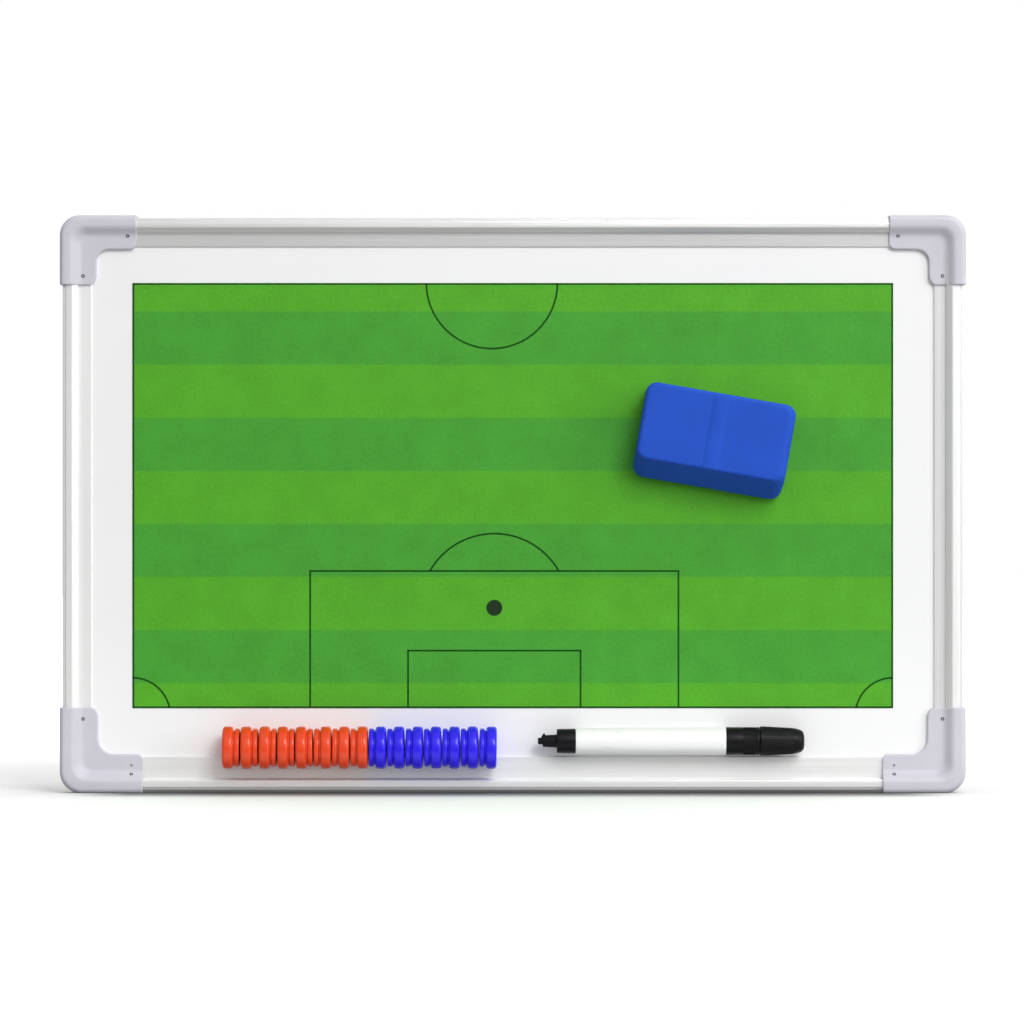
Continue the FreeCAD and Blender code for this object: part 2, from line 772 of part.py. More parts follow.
marker_cap_magnet = turned_body("marker_cap_magnet", [
    (magnet_seat_start, zero),
    (magnet_seat_start, s.marker_cap_magnet_radius - s.marker_cap_magnet_fit),
    (magnet_seat_end, s.marker_cap_magnet_radius - s.marker_cap_magnet_fit),
    (magnet_seat_end, zero),
])
marker_depth = panel_front + s.marker_cap_radius + s.marker_rest_gap
marker_height = foot_edge + s.marker_above_foot
marker_pieces = [marker_barrel, marker_end_plug, marker_front_section, marker_nib,
                 marker_ink_reservoir, marker_cap, marker_cap_magnet]
for piece in marker_pieces:
    place(piece, s.marker_start, -marker_depth, marker_height)

# Eraser, flat on the board: felt behind, then a body whose lower side is cut back as a finger grip
eraser_left = -s.eraser_long / 2
eraser_right = s.eraser_long / 2
eraser_low = -s.eraser_tall / 2
eraser_high = s.eraser_tall / 2
rim_depth = s.eraser_felt_thick + s.eraser_rim_deep
face_depth = rim_depth + s.eraser_bevel_deep
face_low = eraser_low + s.eraser_face_foot_inset
face_high = eraser_high - s.eraser_face_top_inset

eraser_body = new_body("eraser_body")
base_outline = new_sketch(eraser_body, "base", "XZ_Plane", s.eraser_felt_thick)
draw_rounded(base_outline, eraser_left, eraser_low, eraser_right, eraser_high, s.eraser_corner_round)
rim_outline = new_sketch(eraser_body, "rim", "XZ_Plane", rim_depth)
draw_rounded(rim_outline, eraser_left + s.eraser_rim_side_inset, eraser_low + s.eraser_rim_foot_inset,
             eraser_right - s.eraser_rim_side_inset, eraser_high - s.eraser_rim_top_inset,
             s.eraser_corner_round)
face_outline = new_sketch(eraser_body, "face", "XZ_Plane", face_depth)
draw_rounded(face_outline, eraser_left + s.eraser_face_left_inset, face_low,
             eraser_right - s.eraser_face_right_inset, face_high, s.eraser_face_round)
doc.recompute()
eraser_loft = eraser_body.newObject("PartDesign::AdditiveLoft", "eraser_loft")
eraser_loft.Profile = base_outline
eraser_loft.Sections = [rim_outline, face_outline]
eraser_loft.Ruled = True
doc.recompute()
band = new_sketch(eraser_body, "band", "XZ_Plane", face_depth - s.eraser_band_rise)
band_right = s.eraser_band_wide - s.eraser_band_left
draw_box(band, -s.eraser_band_left, face_low + s.eraser_band_inset,
         band_right, face_high - s.eraser_band_inset)
pad(eraser_body, band, s.eraser_band_rise * 2)
seats = new_sketch(eraser_body, "magnet_seats", "XZ_Plane", s.eraser_felt_thick)
for side in (-1, 1):
    draw_circle(seats, s.eraser_magnet_apart / 2 * side, zero, s.eraser_magnet_radius + s.eraser_magnet_fit)
pocket(eraser_body, seats, s.eraser_magnet_thick, flip=True)

eraser_felt = new_body("eraser_felt")
felt_outline = new_sketch(eraser_felt, "outline", "XZ_Plane")
inset = s.eraser_felt_inset
draw_rounded(felt_outline, eraser_left + inset, eraser_low + inset, eraser_right - inset,
             eraser_high - inset, s.eraser_corner_round - inset)
pad(eraser_felt, felt_outline, s.eraser_felt_thick)

eraser_discs = []
for side in (-1, 1):
    magnet = doc.addObject("Part::Cylinder", "eraser_magnet")
    bind(magnet, "Radius", s.eraser_magnet_radius)
    bind(magnet, "Height", s.eraser_magnet_thick)
    magnet.Placement.Rotation = FreeCAD.Rotation(FreeCAD.Vector(1, 0, 0), 90)
    place(magnet, s.eraser_magnet_apart / 2 * side, -s.eraser_felt_thick, zero)
    eraser_discs.append(magnet)
eraser_magnets = group("eraser_magnets", eraser_discs)

for piece in (eraser_body, eraser_felt, eraser_magnets):
    piece.Placement.Rotation = FreeCAD.Rotation(FreeCAD.Vector(0, 1, 0), s.eraser_lean_angle.value)
    place(piece, s.eraser_from_middle, -film_front - s.eraser_rest_gap, foot_edge + s.eraser_above_foot)

pieces = [back_sheet, core_board, steel_sheet, pitch_film,
          top_rail, bottom_rail, left_rail, right_rail,
          corner_top_left, corner_top_right, corner_bottom_left, corner_bottom_right,
          corner_rivets, eraser_body, eraser_felt, eraser_magnets]
pieces += orange_magnets + blue_magnets + marker_pieces

doc.recompute()
for item in doc.Objects:
    if "Invalid" in item.State or "Error" in item.State:
        raise RuntimeError(item.Label + " failed to build")
shapes = {piece.Label: Part.getShape(piece) for piece in pieces}
for label, shape in shapes.items():
    if shape.isNull() or not shape.isValid() or not shape.Solids:
        raise RuntimeError(label + " has no sound solid")
os.makedirs("parts", exist_ok=True)
for label, shape in shapes.items():
    shape.exportStep("parts/" + label + ".step")
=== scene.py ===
import bmesh
import bpy
import math
from mathutils import Matrix, Vector, noise
from mathutils.bvhtree import BVHTree


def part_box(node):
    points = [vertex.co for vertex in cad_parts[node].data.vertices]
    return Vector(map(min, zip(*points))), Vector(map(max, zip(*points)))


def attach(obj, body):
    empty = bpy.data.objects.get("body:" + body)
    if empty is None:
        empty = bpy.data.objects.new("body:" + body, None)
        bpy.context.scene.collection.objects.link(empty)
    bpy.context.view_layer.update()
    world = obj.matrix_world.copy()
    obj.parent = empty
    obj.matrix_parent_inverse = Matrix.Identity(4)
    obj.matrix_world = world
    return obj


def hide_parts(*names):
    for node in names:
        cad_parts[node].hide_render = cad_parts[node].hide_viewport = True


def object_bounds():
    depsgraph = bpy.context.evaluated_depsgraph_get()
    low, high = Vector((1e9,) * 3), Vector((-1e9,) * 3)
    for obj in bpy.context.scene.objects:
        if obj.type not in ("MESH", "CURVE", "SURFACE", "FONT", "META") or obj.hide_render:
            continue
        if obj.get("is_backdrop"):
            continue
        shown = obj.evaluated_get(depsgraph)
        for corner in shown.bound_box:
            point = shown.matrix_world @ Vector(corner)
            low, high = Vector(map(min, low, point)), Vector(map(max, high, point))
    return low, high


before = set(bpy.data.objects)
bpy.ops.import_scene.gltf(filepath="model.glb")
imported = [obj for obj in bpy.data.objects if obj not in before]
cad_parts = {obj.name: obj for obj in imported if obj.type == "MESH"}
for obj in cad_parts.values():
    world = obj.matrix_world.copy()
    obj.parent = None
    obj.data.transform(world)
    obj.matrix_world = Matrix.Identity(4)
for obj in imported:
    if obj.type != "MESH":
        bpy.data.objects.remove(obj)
cad_low, cad_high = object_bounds()


# Panel core and backing
# A fibreboard sheet keeps the thin steel face flat, and a dull foil skin closes the back.
# Both are cut to the panel's size and are held by the channels of the rails.
MM = 0.001


def linear(code):
    """An sRGB hex colour as linear red, green, blue and alpha."""
    parts = [int(code[i:i + 2], 16) / 255 for i in (1, 3, 5)]
    return tuple(c / 12.92 if c <= 0.04045 else ((c + 0.055) / 1.055) ** 2.4 for c in parts) + (1.0,)


def add(tree, kind, inputs=None, feeds=None, **settings):
    """Add one node. Settings are its properties, inputs what its sockets take (a value, a socket, a node,
    or a list of nodes to join), and feeds is the socket that it supplies."""
    made = tree.nodes.new(kind)
    for name, value in settings.items():
        setattr(made, name, value)
    for socket, values in (inputs or {}).items():
        for value in values if isinstance(values, list) else [values]:
            if isinstance(value, bpy.types.Node):
                value = next(out for out in value.outputs if out.enabled)
            if isinstance(value, bpy.types.NodeSocket):
                tree.links.new(value, made.inputs[socket])
            else:
                made.inputs[socket].default_value = value
    if feeds is not None:
        tree.links.new(next(out for out in made.outputs if out.enabled), feeds)
    return made


def start_finish(name, roughness, metallic=0.0, ior=1.5, specular=0.5):
    """A material with its shader's constants; returns it, its tree, its shader's sockets and its place."""
    finish = bpy.data.materials.new(name)
    finish.use_nodes = True
    tree = finish.node_tree
    shader = tree.nodes["Principled BSDF"].inputs
    shader["Roughness"].default_value = roughness
    shader["Metallic"].default_value = metallic
    shader["IOR"].default_value = ior
    shader["Specular IOR Level"].default_value = specular
    return finish, tree, shader, add(tree, "ShaderNodeTexCoord").outputs["Object"]


def mottled(tree, shader, place, patch, dark, bright, detail=3.0):
    """Base colour that drifts between two shades in patches of one size; returns the pattern."""
    pattern = add(tree, "ShaderNodeTexNoise", {"Vector": place, "Scale": 1 / patch, "Detail": detail})
    add(tree, "ShaderNodeMix", {0: pattern, 6: linear(dark), 7: linear(bright)}, shader["Base Color"],
        data_type="RGBA")
    return pattern


def dress(node, finish):
    """Give a construction piece its finish."""
    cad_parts[node].data.materials.clear()
    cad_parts[node].data.materials.append(finish)


# Raw fibreboard: pressed brown fibres about 2 mm long, quite matt
fibreboard, tree, shader, place = start_finish("raw_fibreboard", 0.85)
mottled(tree, shader, place, 2 * MM, "#6B4A2C", "#9A764E", detail=4.0)
dress("core_board", fibreboard)

# Aluminium foil on the back: dull, with rolling lines 3 mm apart and soft dents about 25 mm wide
foil, tree, shader, place = start_finish("aluminium_foil", 0.42, metallic=1.0)
rolled = add(tree, "ShaderNodeMapping", {"Vector": place, "Scale": (0.02, 1.0, 1.0)})
mottled(tree, shader, rolled, 3 * MM, "#A9ABAD", "#C9CACB")
dents = add(tree, "ShaderNodeTexNoise", {"Vector": place, "Scale": 1 / (25 * MM), "Detail": 1.0})
add(tree, "ShaderNodeBump", {"Height": dents, "Strength": 0.25, "Distance": 0.6 * MM}, shader["Normal"])
dress("back_sheet", foil)


# Steel face
# A thin steel sheet with a hard white dry-wipe coat, baked on. It shows as the white margin round the
# pitch, holds the magnets, and carries the faint grey haze that wiping leaves.
coat, tree, shader, place = start_finish("white_dry_wipe_enamel", 0.42, ior=1.52, specular=0.35)
haze = mottled(tree, shader, place, 60 * MM, "#F3F3F4", "#F7F7F7")
add(tree, "ShaderNodeMapRange", {"Value": haze, "To Min": 0.36, "To Max": 0.5}, shader["Roughness"])
peel = add(tree, "ShaderNodeTexNoise", {"Vector": place, "Scale": 1 / (1.6 * MM), "Detail": 1.0})
add(tree, "ShaderNodeBump", {"Height": peel, "Strength": 0.05, "Distance": 0.1 * MM}, shader["Normal"])
dress("steel_sheet", coat)


# Printed pitch film
# A thin vinyl film, printed with a half pitch in mown stripes and laminated, stuck on the steel face.
# The stripes and the mottled grass are print, so they are colour on a smooth satin skin.
film_low, film_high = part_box("pitch_film")
stripe_wide, first_stripe_drop = 26.4 * MM, 14.2 * MM
film_satin, tree, shader, place = start_finish("laminated_vinyl_print", 0.5, ior=1.46, specular=0.25)
height = add(tree, "ShaderNodeSeparateXYZ", {0: place}).outputs["Z"]
below = add(tree, "ShaderNodeMath", {0: film_high.z - first_stripe_drop, 1: height}, operation="SUBTRACT")
phase = add(tree, "ShaderNodeMath", {0: below, 1: math.pi / stripe_wide}, operation="MULTIPLY")
wave = add(tree, "ShaderNodeMath", {0: phase}, operation="SINE")
mown = add(tree, "ShaderNodeMapRange", {"Value": wave, "From Min": -0.06, "From Max": 0.06})
turf = add(tree, "ShaderNodeMix", {0: mown, 6: linear("#54AB26"), 7: linear("#47A032")}, data_type="RGBA")
patches = add(tree, "ShaderNodeTexNoise", {"Vector": place, "Scale": 1 / (14 * MM), "Detail": 4.0})
blades = add(tree, "ShaderNodeTexNoise", {"Vector": place, "Scale": 1 / (1.5 * MM), "Detail": 2.0})
mottle = add(tree, "ShaderNodeMix", {0: 0.55, 2: patches, 3: blades})
light = add(tree, "ShaderNodeMapRange", {"Value": mottle, "From Min": 0.3, "From Max": 0.7,
                                         "To Min": 0.86, "To Max": 1.12})
add(tree, "ShaderNodeHueSaturation", {"Color": turf, "Value": light}, shader["Base Color"])
dress("pitch_film", film_satin)

# The pitch's lines are the same print in dark ink, swept along their paths as thin flush strips
scene = bpy.context.scene
line_wide, ink_thick = 0.92 * MM, 0.06 * MM
pitch_axis = -9.2 * MM
half_circle_axis, half_circle_radius = -10.4 * MM, 32.6 * MM
box_half, box_tall = 91.6 * MM, 67.8 * MM
goal_half, goal_tall = 42.9 * MM, 28.2 * MM
spot_rise, spot_radius, spot_margin = 49.5 * MM, 4.0 * MM, 1.05
spot_arc_radius = 36.9 * MM
corner_arc_radius, corner_arc_drop = 18.8 * MM, 4.1 * MM
left, right = film_low.x + line_wide / 2, film_high.x - line_wide / 2
foot, top = film_low.z + line_wide / 2, film_high.z - line_wide / 2


def arc(x, z, radius, start, stop):
    """Points of an arc by its centre, radius and two angles in degrees, one point every 3 degrees."""
    steps = math.ceil(abs(stop - start) / 3)
    angles = [math.radians(start + (stop - start) * i / steps) for i in range(steps + 1)]
    return [(x + radius * math.cos(a), z + radius * math.sin(a)) for a in angles]


def straight_box(half, tall):
    """Three straight lines of a box that stands on the goal line."""
    sides = [[(pitch_axis + side * half, foot), (pitch_axis + side * half, foot + tall)] for side in (-1, 1)]
    reach = half + line_wide / 2
    return sides + [[(pitch_axis - reach, foot + tall), (pitch_axis + reach, foot + tall)]]


spot_to_box = math.degrees(math.asin((box_tall - spot_rise) / spot_arc_radius))
corner_low = math.degrees(math.asin(corner_arc_drop / corner_arc_radius))
paths = [[(film_low.x, top), (film_high.x, top)], [(film_low.x, foot), (film_high.x, foot)],
         [(left, film_low.z), (left, film_high.z)], [(right, film_low.z), (right, film_high.z)]]
paths += straight_box(box_half, box_tall) + straight_box(goal_half, goal_tall)
paths.append(arc(half_circle_axis, film_high.z, half_circle_radius, 180, 360))
paths.append(arc(pitch_axis, foot + spot_rise, spot_arc_radius, spot_to_box, 180 - spot_to_box))
paths.append(arc(film_low.x, foot - corner_arc_drop, corner_arc_radius, corner_low, 90))
paths.append(arc(film_high.x, foot - corner_arc_drop, corner_arc_radius, 90, 180 - corner_low))


def route(name, paths):
    """Curve data with one spline of straight runs for each path of points."""
    curves = bpy.data.curves.new(name, "CURVE")
    curves.dimensions = "3D"
    for path in paths:
        spline = curves.splines.new("POLY")
        spline.points.add(len(path) - 1)
        for point, place in zip(spline.points, path):
            point.co = (*place, 1)
    return curves


def start_geometry(name, sizes):
    """A geometry tree with named sizes; returns it with its input sockets and its output node."""
    tree = bpy.data.node_groups.new(name, "GeometryNodeTree")
    for way in ("INPUT", "OUTPUT"):
        tree.interface.new_socket("Geometry", in_out=way, socket_type="NodeSocketGeometry")
    for label in sizes:
        tree.interface.new_socket(label, in_out="INPUT", socket_type="NodeSocketFloat")
    return tree, add(tree, "NodeGroupInput").outputs, add(tree, "NodeGroupOutput")


def grow(data, tree, sizes):
    """Run a geometry tree on curve or mesh data; returns the plain mesh."""
    source = bpy.data.objects.new(data.name, data)
    scene.collection.objects.link(source)
    modifier = source.modifiers.new(tree.name, "NODES")
    modifier.node_group = tree
    for item in tree.interface.items_tree:
        if item.in_out == "INPUT" and item.name in sizes:
            modifier[item.identifier] = sizes[item.name]
    mesh = bpy.data.meshes.new_from_object(source.evaluated_get(bpy.context.evaluated_depsgraph_get()))
    for i in reversed(range(len(mesh.materials))):
        if mesh.materials[i] is None:
            mesh.materials.pop(index=i)
    source.modifiers.clear()
    bpy.data.objects.remove(source)
    return mesh


def show(name, mesh, body, replaced=(), finish=None, sharp=40):
    """Put a mesh in the scene as a piece that moves with a body, all in one finish if that is given."""
    if finish is not None:
        mesh.materials.clear()
        mesh.materials.append(finish)
    mesh.shade_smooth()
    mesh.set_sharp_from_angle(angle=math.radians(sharp))
    piece = bpy.data.objects.new(name, mesh)
    scene.collection.objects.link(piece)
    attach(piece, body)
    for node in replaced:
        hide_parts(node)
    return piece


# Dark green ink with uneven cover, and a blacker ink for the spot
ink, tree, shader, place = start_finish("dark_green_print_ink", 0.45, ior=1.46, specular=0.15)
cover = add(tree, "ShaderNodeTexNoise", {"Vector": place, "Scale": 1 / (1.2 * MM), "Detail": 2.0})
green = add(tree, "ShaderNodeMix", {0: cover, 6: linear("#0C3C08"), 7: linear("#175A12")}, data_type="RGBA")
spot_middle = (pitch_axis, film_low.y, foot + spot_rise)
gap = add(tree, "ShaderNodeVectorMath", {0: place, 1: spot_middle}, operation="DISTANCE")
on_spot = add(tree, "ShaderNodeMath", {0: gap, 1: spot_radius * spot_margin}, operation="LESS_THAN")
add(tree, "ShaderNodeMix", {0: on_spot, 6: green, 7: linear("#1F361F")}, shader["Base Color"],
    data_type="RGBA")

line_paths = route("pitch_line_paths", [[(x, z, 0) for x, z in path] for path in paths])
line_paths.twist_mode = "Z_UP"
sizes = {"Line Width": line_wide, "Ink Thickness": ink_thick, "Spot Radius": spot_radius,
         "Spot Across": pitch_axis, "Spot Up": foot + spot_rise, "Film Face": film_low.y}
tree, given, result = start_geometry("printed_lines", sizes)
strip = add(tree, "GeometryNodeCurvePrimitiveQuadrilateral",
            {"Width": given["Line Width"], "Height": given["Ink Thickness"]})
lines = add(tree, "GeometryNodeCurveToMesh",
            {"Curve": given["Geometry"], "Profile Curve": strip, "Fill Caps": True})
disc = add(tree, "GeometryNodeMeshCylinder",
           {"Vertices": 48, "Radius": given["Spot Radius"], "Depth": given["Ink Thickness"]})
spot_place = add(tree, "ShaderNodeCombineXYZ", {0: given["Spot Across"], 1: given["Spot Up"]})
spot = add(tree, "GeometryNodeTransform", {"Geometry": disc, "Translation": spot_place})
print_all = add(tree, "GeometryNodeJoinGeometry", {0: [lines, spot]})
lift = add(tree, "ShaderNodeCombineXYZ", {1: given["Film Face"]})
upright = add(tree, "GeometryNodeTransform",
              {"Geometry": print_all, "Translation": lift, "Rotation": (math.pi / 2, 0, 0)})
whole = add(tree, "GeometryNodeRealizeInstances", {0: upright})
add(tree, "GeometryNodeSetMaterial", {"Geometry": whole, "Material": ink}, result.inputs[0])
show("pitch_lines", grow(line_paths, tree, sizes), "board")


# Rails
# Four lengths of hollow extrusion in satin anodised aluminium, the lower one from a wider die. Each has a
# stepped outer edge, a crest and slope that differ a little from rail to rail, and a flange that laps
# over the steel face; the caps hide the cut ends.

def rounded(corners, closed=True, step=12):
    """Points of an outline of corners (x, y, radius), each rounded by an arc with a point every few degrees."""
    points = []
    for i, (x, y, radius) in enumerate(corners):
        here = Vector((x, y))
        if radius == 0 or (not closed and i in (0, len(corners) - 1)):
            points.append(here)
            continue
        before = (Vector(corners[i - 1][:2]) - here).normalized()
        after = (Vector(corners[(i + 1) % len(corners)][:2]) - here).normalized()
        half = before.angle(after) / 2
        centre = here + (before + after).normalized() * (radius / math.sin(half))
        start = here + before * (radius / math.tan(half)) - centre
        stop = here + after * (radius / math.tan(half)) - centre
        first = math.atan2(start.y, start.x)
        turn = (math.atan2(stop.y, stop.x) - first + math.pi) % (2 * math.pi) - math.pi
        count = max(2, math.ceil(abs(math.degrees(turn)) / step))
        for k in range(count + 1):
            angle = first + turn * k / count
            points.append(centre + Vector((math.cos(angle), math.sin(angle))) * radius)
    return points


def bridge(body, rows):
    """Faces between closed rows of vertices that correspond; a row of one vertex closes to a point."""
    for row, after in zip(rows, rows[1:]):
        count = max(len(row), len(after))
        for i in range(count):
            j = (i + 1) % count
            if len(row) == 1:
                body.faces.new((row[0], after[j], after[i]))
            elif len(after) == 1:
                body.faces.new((row[i], row[j], after[0]))
            else:
                body.faces.new((row[i], row[j], after[j], after[i]))


def close_up(body, name):
    """The finished mesh of a body, with its faces all turned outward."""
    bmesh.ops.recalc_face_normals(body, faces=body.faces)
    mesh = bpy.data.meshes.new(name)
    body.to_mesh(mesh)
    body.free()
    return mesh


def skin(rings):
    """A closed mesh over rings of points that correspond, with the two end rings filled."""
    body = bmesh.new()
    rows = [[body.verts.new(point) for point in ring] for ring in rings]
    bridge(body, rows)
    body.faces.new(rows[0])
    body.faces.new(rows[-1])
    return close_up(body, "skin")


rail_back, rail_crest = 1.6 * MM, 13.4 * MM
flange_front, panel_front = 9.8 * MM, 8.8 * MM
slot_deep, lip_thick, lip_reach = 5.2 * MM, 1.0 * MM, 3.0 * MM
step_wide, step_deep, step_lean = 1.3 * MM, 0.7 * MM, 0.15 * MM
heel_round, step_round, bend_round = 0.3 * MM, 0.12 * MM, 0.4 * MM
crest_round, riser_round, flange_round = 0.8 * MM, 0.3 * MM, 0.45 * MM


def rail_section(wide, crest_wide, crest_fall, slope_run, slope_fall, riser_run, outer_round):
    """Rail section as (inset from the outer face, depth in front of the wall)."""
    slot_floor = wide - slot_deep
    shoulder = rail_crest - crest_fall
    return rounded([
        (0, rail_back, heel_round),
        (0, shoulder - step_deep, outer_round),
        (step_wide, shoulder - step_deep, step_round),
        (step_wide + step_lean, shoulder, bend_round),
        (crest_wide, rail_crest, crest_round),
        (crest_wide + slope_run, rail_crest - slope_fall, bend_round),
        (crest_wide + slope_run + riser_run, flange_front, riser_round),
        (wide, flange_front, flange_round),
        (wide, panel_front, 0),
        (slot_floor, panel_front, 0),
        (slot_floor, rail_back + lip_thick, 0),
        (slot_floor + lip_reach, rail_back + lip_thick, 0),
        (slot_floor + lip_reach, rail_back, 0),
    ])


def anodised(name, along, diffuse_share):
    """Satin anodised aluminium, with die lines 0.5 mm apart along the bar; its diffuse share, set rail by rail,
    is painted light and shade that makes some rails lighter and others darker.
    """
    finish, tree, shader, place = start_finish(name, 0.34, metallic=1 - diffuse_share)
    stretch = tuple(0.006 if axis == along else 1.0 for axis in range(3))
    drawn = add(tree, "ShaderNodeMapping", {"Vector": place, "Scale": stretch})
    lines = add(tree, "ShaderNodeTexNoise", {"Vector": drawn, "Scale": 1 / (0.5 * MM), "Detail": 3.0})
    bands = add(tree, "ShaderNodeTexNoise", {"Vector": drawn, "Scale": 1 / (4 * MM), "Detail": 1.0})
    both = add(tree, "ShaderNodeMix", {0: 0.5, 2: lines, 3: bands})
    add(tree, "ShaderNodeMix", {0: both, 6: linear("#E6E7E6"), 7: linear("#FDFDFC")},
        shader["Base Color"], data_type="RGBA")
    add(tree, "ShaderNodeMapRange", {"Value": lines, "To Min": 0.26, "To Max": 0.4}, shader["Roughness"])
    add(tree, "ShaderNodeBump", {"Height": lines, "Strength": 0.5, "Distance": 0.15 * MM}, shader["Normal"])
    return finish


# For each rail: its finish and its diffuse share, painted light and shade that makes the left rail the
# lightest and the top one the darkest, then in mm the crest's width and fall, the slope's run and fall, the
# riser's run and the outer edge's rounding
for node, finish_name, diffuse_share, front in (
        ("top_rail", "anodised_aluminium_top", 0.2, (4.7, 0.15, 2.2, 1.2, 0.5, 0.6)),
        ("bottom_rail", "anodised_aluminium_ledge", 0.6, (5.0, 0.15, 0.4, 1.0, 0.4, 1.25)),
        ("left_rail", "anodised_aluminium_left", 0.75, (4.6, 0.35, 2.6, 1.5, 0.5, 0.6)),
        ("right_rail", "anodised_aluminium_right", 0.5, (5.2, 1.1, 2.8, 1.5, 0.5, 0.6))):
    low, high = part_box(node)
    level = node in ("top_rail", "bottom_rail")
    along, across = (0, 2) if level else (2, 0)
    outer, inward = (high[across], -1) if node in ("top_rail", "right_rail") else (low[across], 1)
    section = [(outer + inward * p.x, -p.y)
               for p in rail_section(high[across] - low[across], *[size * MM for size in front])]
    rings = [[(end, y, side) if level else (side, y, end) for side, y in section]
             for end in (low[along], high[along])]
    show(node + "_bar", skin(rings), "board", [node], anodised(finish_name, along, diffuse_share),
         sharp=25)


# Corner caps
# Injection-moulded ABS sleeves, pushed over the ends of two rails and pinned. A soft bead follows the
# outer edge round the corner and runs out on a flat plate that laps over the panel.
cap_front, cap_crest, cap_wall = 11.3 * MM, 14.9 * MM, 1.4 * MM
cap_back_wall, panel_back = 1.6 * MM, 2.6 * MM
bead_shoulder, bead_brow, bead_foot, back_flat = 2.4 * MM, 3.6 * MM, 4.0 * MM, 2.6 * MM
edge_round, end_edge, back_edge, fit = 0.7 * MM, 0.45 * MM, 0.5 * MM, 0.15 * MM
end_round, leg_end, drop_end, mouth_more, tongue_step = 3.4 * MM, 3.0 * MM, 5.0 * MM, 1.2 * MM, 1.0 * MM
hollow_slope_in, hollow_crest_in, corner_more = 0.5 * MM, 0.6 * MM, 0.3 * MM
hole_radius, hole_deep, hole_across = 3.0 * MM, 8.0 * MM, 218.1 * MM


def blend(a, b, t):
    """The value a share t of the way from a to b."""
    return a + (b - a) * t


def cap_section(crest_in, slope_end):
    """Sleeve section, a closed loop of (inset, share of the way to the inner outline, its inset, depth)."""
    flat_start = slope_end + bead_foot / 2
    bead = rounded([
        (back_flat, 0, 0),
        (0, 0, back_edge),
        (0, cap_crest, bead_shoulder),
        (crest_in, cap_crest, bead_brow),
        (slope_end, cap_front, bead_foot),
        (flat_start, cap_front, 0),
    ], closed=False, step=10)
    outside = [(p.x, 0, 0, p.y) for p in bead]
    plate = [(flat_start, share, edge_round, cap_front) for share in (0.35, 0.7)]
    lip = rounded([(edge_round * 2, cap_front, 0), (0, cap_front, edge_round), (0, panel_front, 0)],
                  closed=False, step=18)
    inner_edge = [(0, 1, p.x, p.y) for p in lip]
    inside = [(0, 1, tongue_step, panel_front),
              (0, 1, tongue_step, flange_front + fit),
              (slope_end - hollow_slope_in, 0, 0, flange_front + fit),
              (crest_in - hollow_crest_in, 0, 0, rail_crest + fit),
              (cap_wall, 0, 0, rail_crest + fit),
              (cap_wall, 0, 0, cap_back_wall),
              (0, 1, tongue_step, cap_back_wall),
              (0, 1, tongue_step, panel_back)]
    heel = rounded([(0, panel_back, 0), (0, 0, back_edge), (edge_round * 2, 0, 0)], closed=False, step=18)
    return outside + plate + inner_edge + inside + [(0, 1, p.x, p.y) for p in heel]


def cap_rings(leg, drop, leg_wide, side_wide, crest_in, slope_end, slope_corner, inner_round):
    """Rings of (a, b, depth) along the sleeve, from the end of the leg round the corner to the other end."""
    def outer(part, s, u, w):
        """Point w inside the outer outline, at s from the part's end or a share u of the way along it."""
        radius = blend(slope_end + corner_more, slope_corner, min(w / slope_end, 1))
        if part == "bend":
            angle = math.radians(90 * u)
            return (w + radius * (1 - math.sin(angle)), w + radius * (1 - math.cos(angle)))
        reach, rounding = (leg, leg_end) if part == "leg" else (drop, drop_end)
        along = reach - s if u == 0 else blend(reach - rounding, w + radius, u)
        return (along, w) if part == "leg" else (w, along)

    def inner(part, s, u, q):
        """Point q short of the inner outline, at the same station."""
        if part == "bend":
            angle = math.radians(90 * u)
            radius = inner_round + q
            return (side_wide + inner_round - radius * math.sin(angle),
                    leg_wide + inner_round - radius * math.cos(angle))
        reach, rounding = (leg, leg_end) if part == "leg" else (drop, drop_end)
        wide, past = (leg_wide, side_wide) if part == "leg" else (side_wide, leg_wide)
        cut = max(1 - s / rounding, 0)
        across = wide - end_round * (1 - math.sqrt(1 - cut ** 2)) - q
        along = reach - s if u == 0 else blend(reach - rounding, past + inner_round, u)
        return (along, across) if part == "leg" else (across, along)

    turns = [math.radians(a) for a in (0, 30, 60, 90)]
    stations = []
    for part, rounding in (("leg", leg_end), ("drop", drop_end)):
        ends = [(part, end_edge * (1 - math.cos(a)), 0, end_edge * (1 - math.sin(a))) for a in turns]
        ends += [(part, rounding * (1 - math.cos(math.radians(a))), 0, 0) for a in (40, 50, 60, 70, 80, 90)]
        ends += [(part, rounding, k / 6, 0) for k in range(1, 7)]
        stations.append(ends)
    bends = [("bend", 0, k / 18, 0) for k in range(1, 18)]
    section = cap_section(crest_in, slope_end)
    rings = []
    for part, s, u, shrink in stations[0] + bends + stations[1][::-1]:
        ring = []
        for w, share, q, depth in section:
            lifted = depth - shrink if depth >= cap_front else max(depth, shrink)
            wall = max(w, shrink) if share == 0 else w
            a, b = outer(part, s, u, wall)
            if share:
                inner_a, inner_b = inner(part, s, u, max(q, shrink))
                a, b = blend(a, inner_a, share), blend(b, inner_b, share)
            ring.append((a, b, lifted))
        rings.append(ring)
    return rings


# Light grey ABS with a fine spark-eroded grain 0.4 mm across and a little handling dirt
cap_plastic, tree, shader, place = start_finish("moulded_grey_abs", 0.48, ior=1.53)
soil = mottled(tree, shader, place, 9 * MM, "#C7C5CF", "#D1CFD8", detail=4.0)
add(tree, "ShaderNodeMapRange", {"Value": soil, "To Min": 0.4, "To Max": 0.56}, shader["Roughness"])
grain = add(tree, "ShaderNodeTexNoise", {"Vector": place, "Scale": 1 / (0.4 * MM), "Detail": 2.0})
add(tree, "ShaderNodeBump", {"Height": grain, "Strength": 0.1, "Distance": 0.1 * MM}, shader["Normal"])


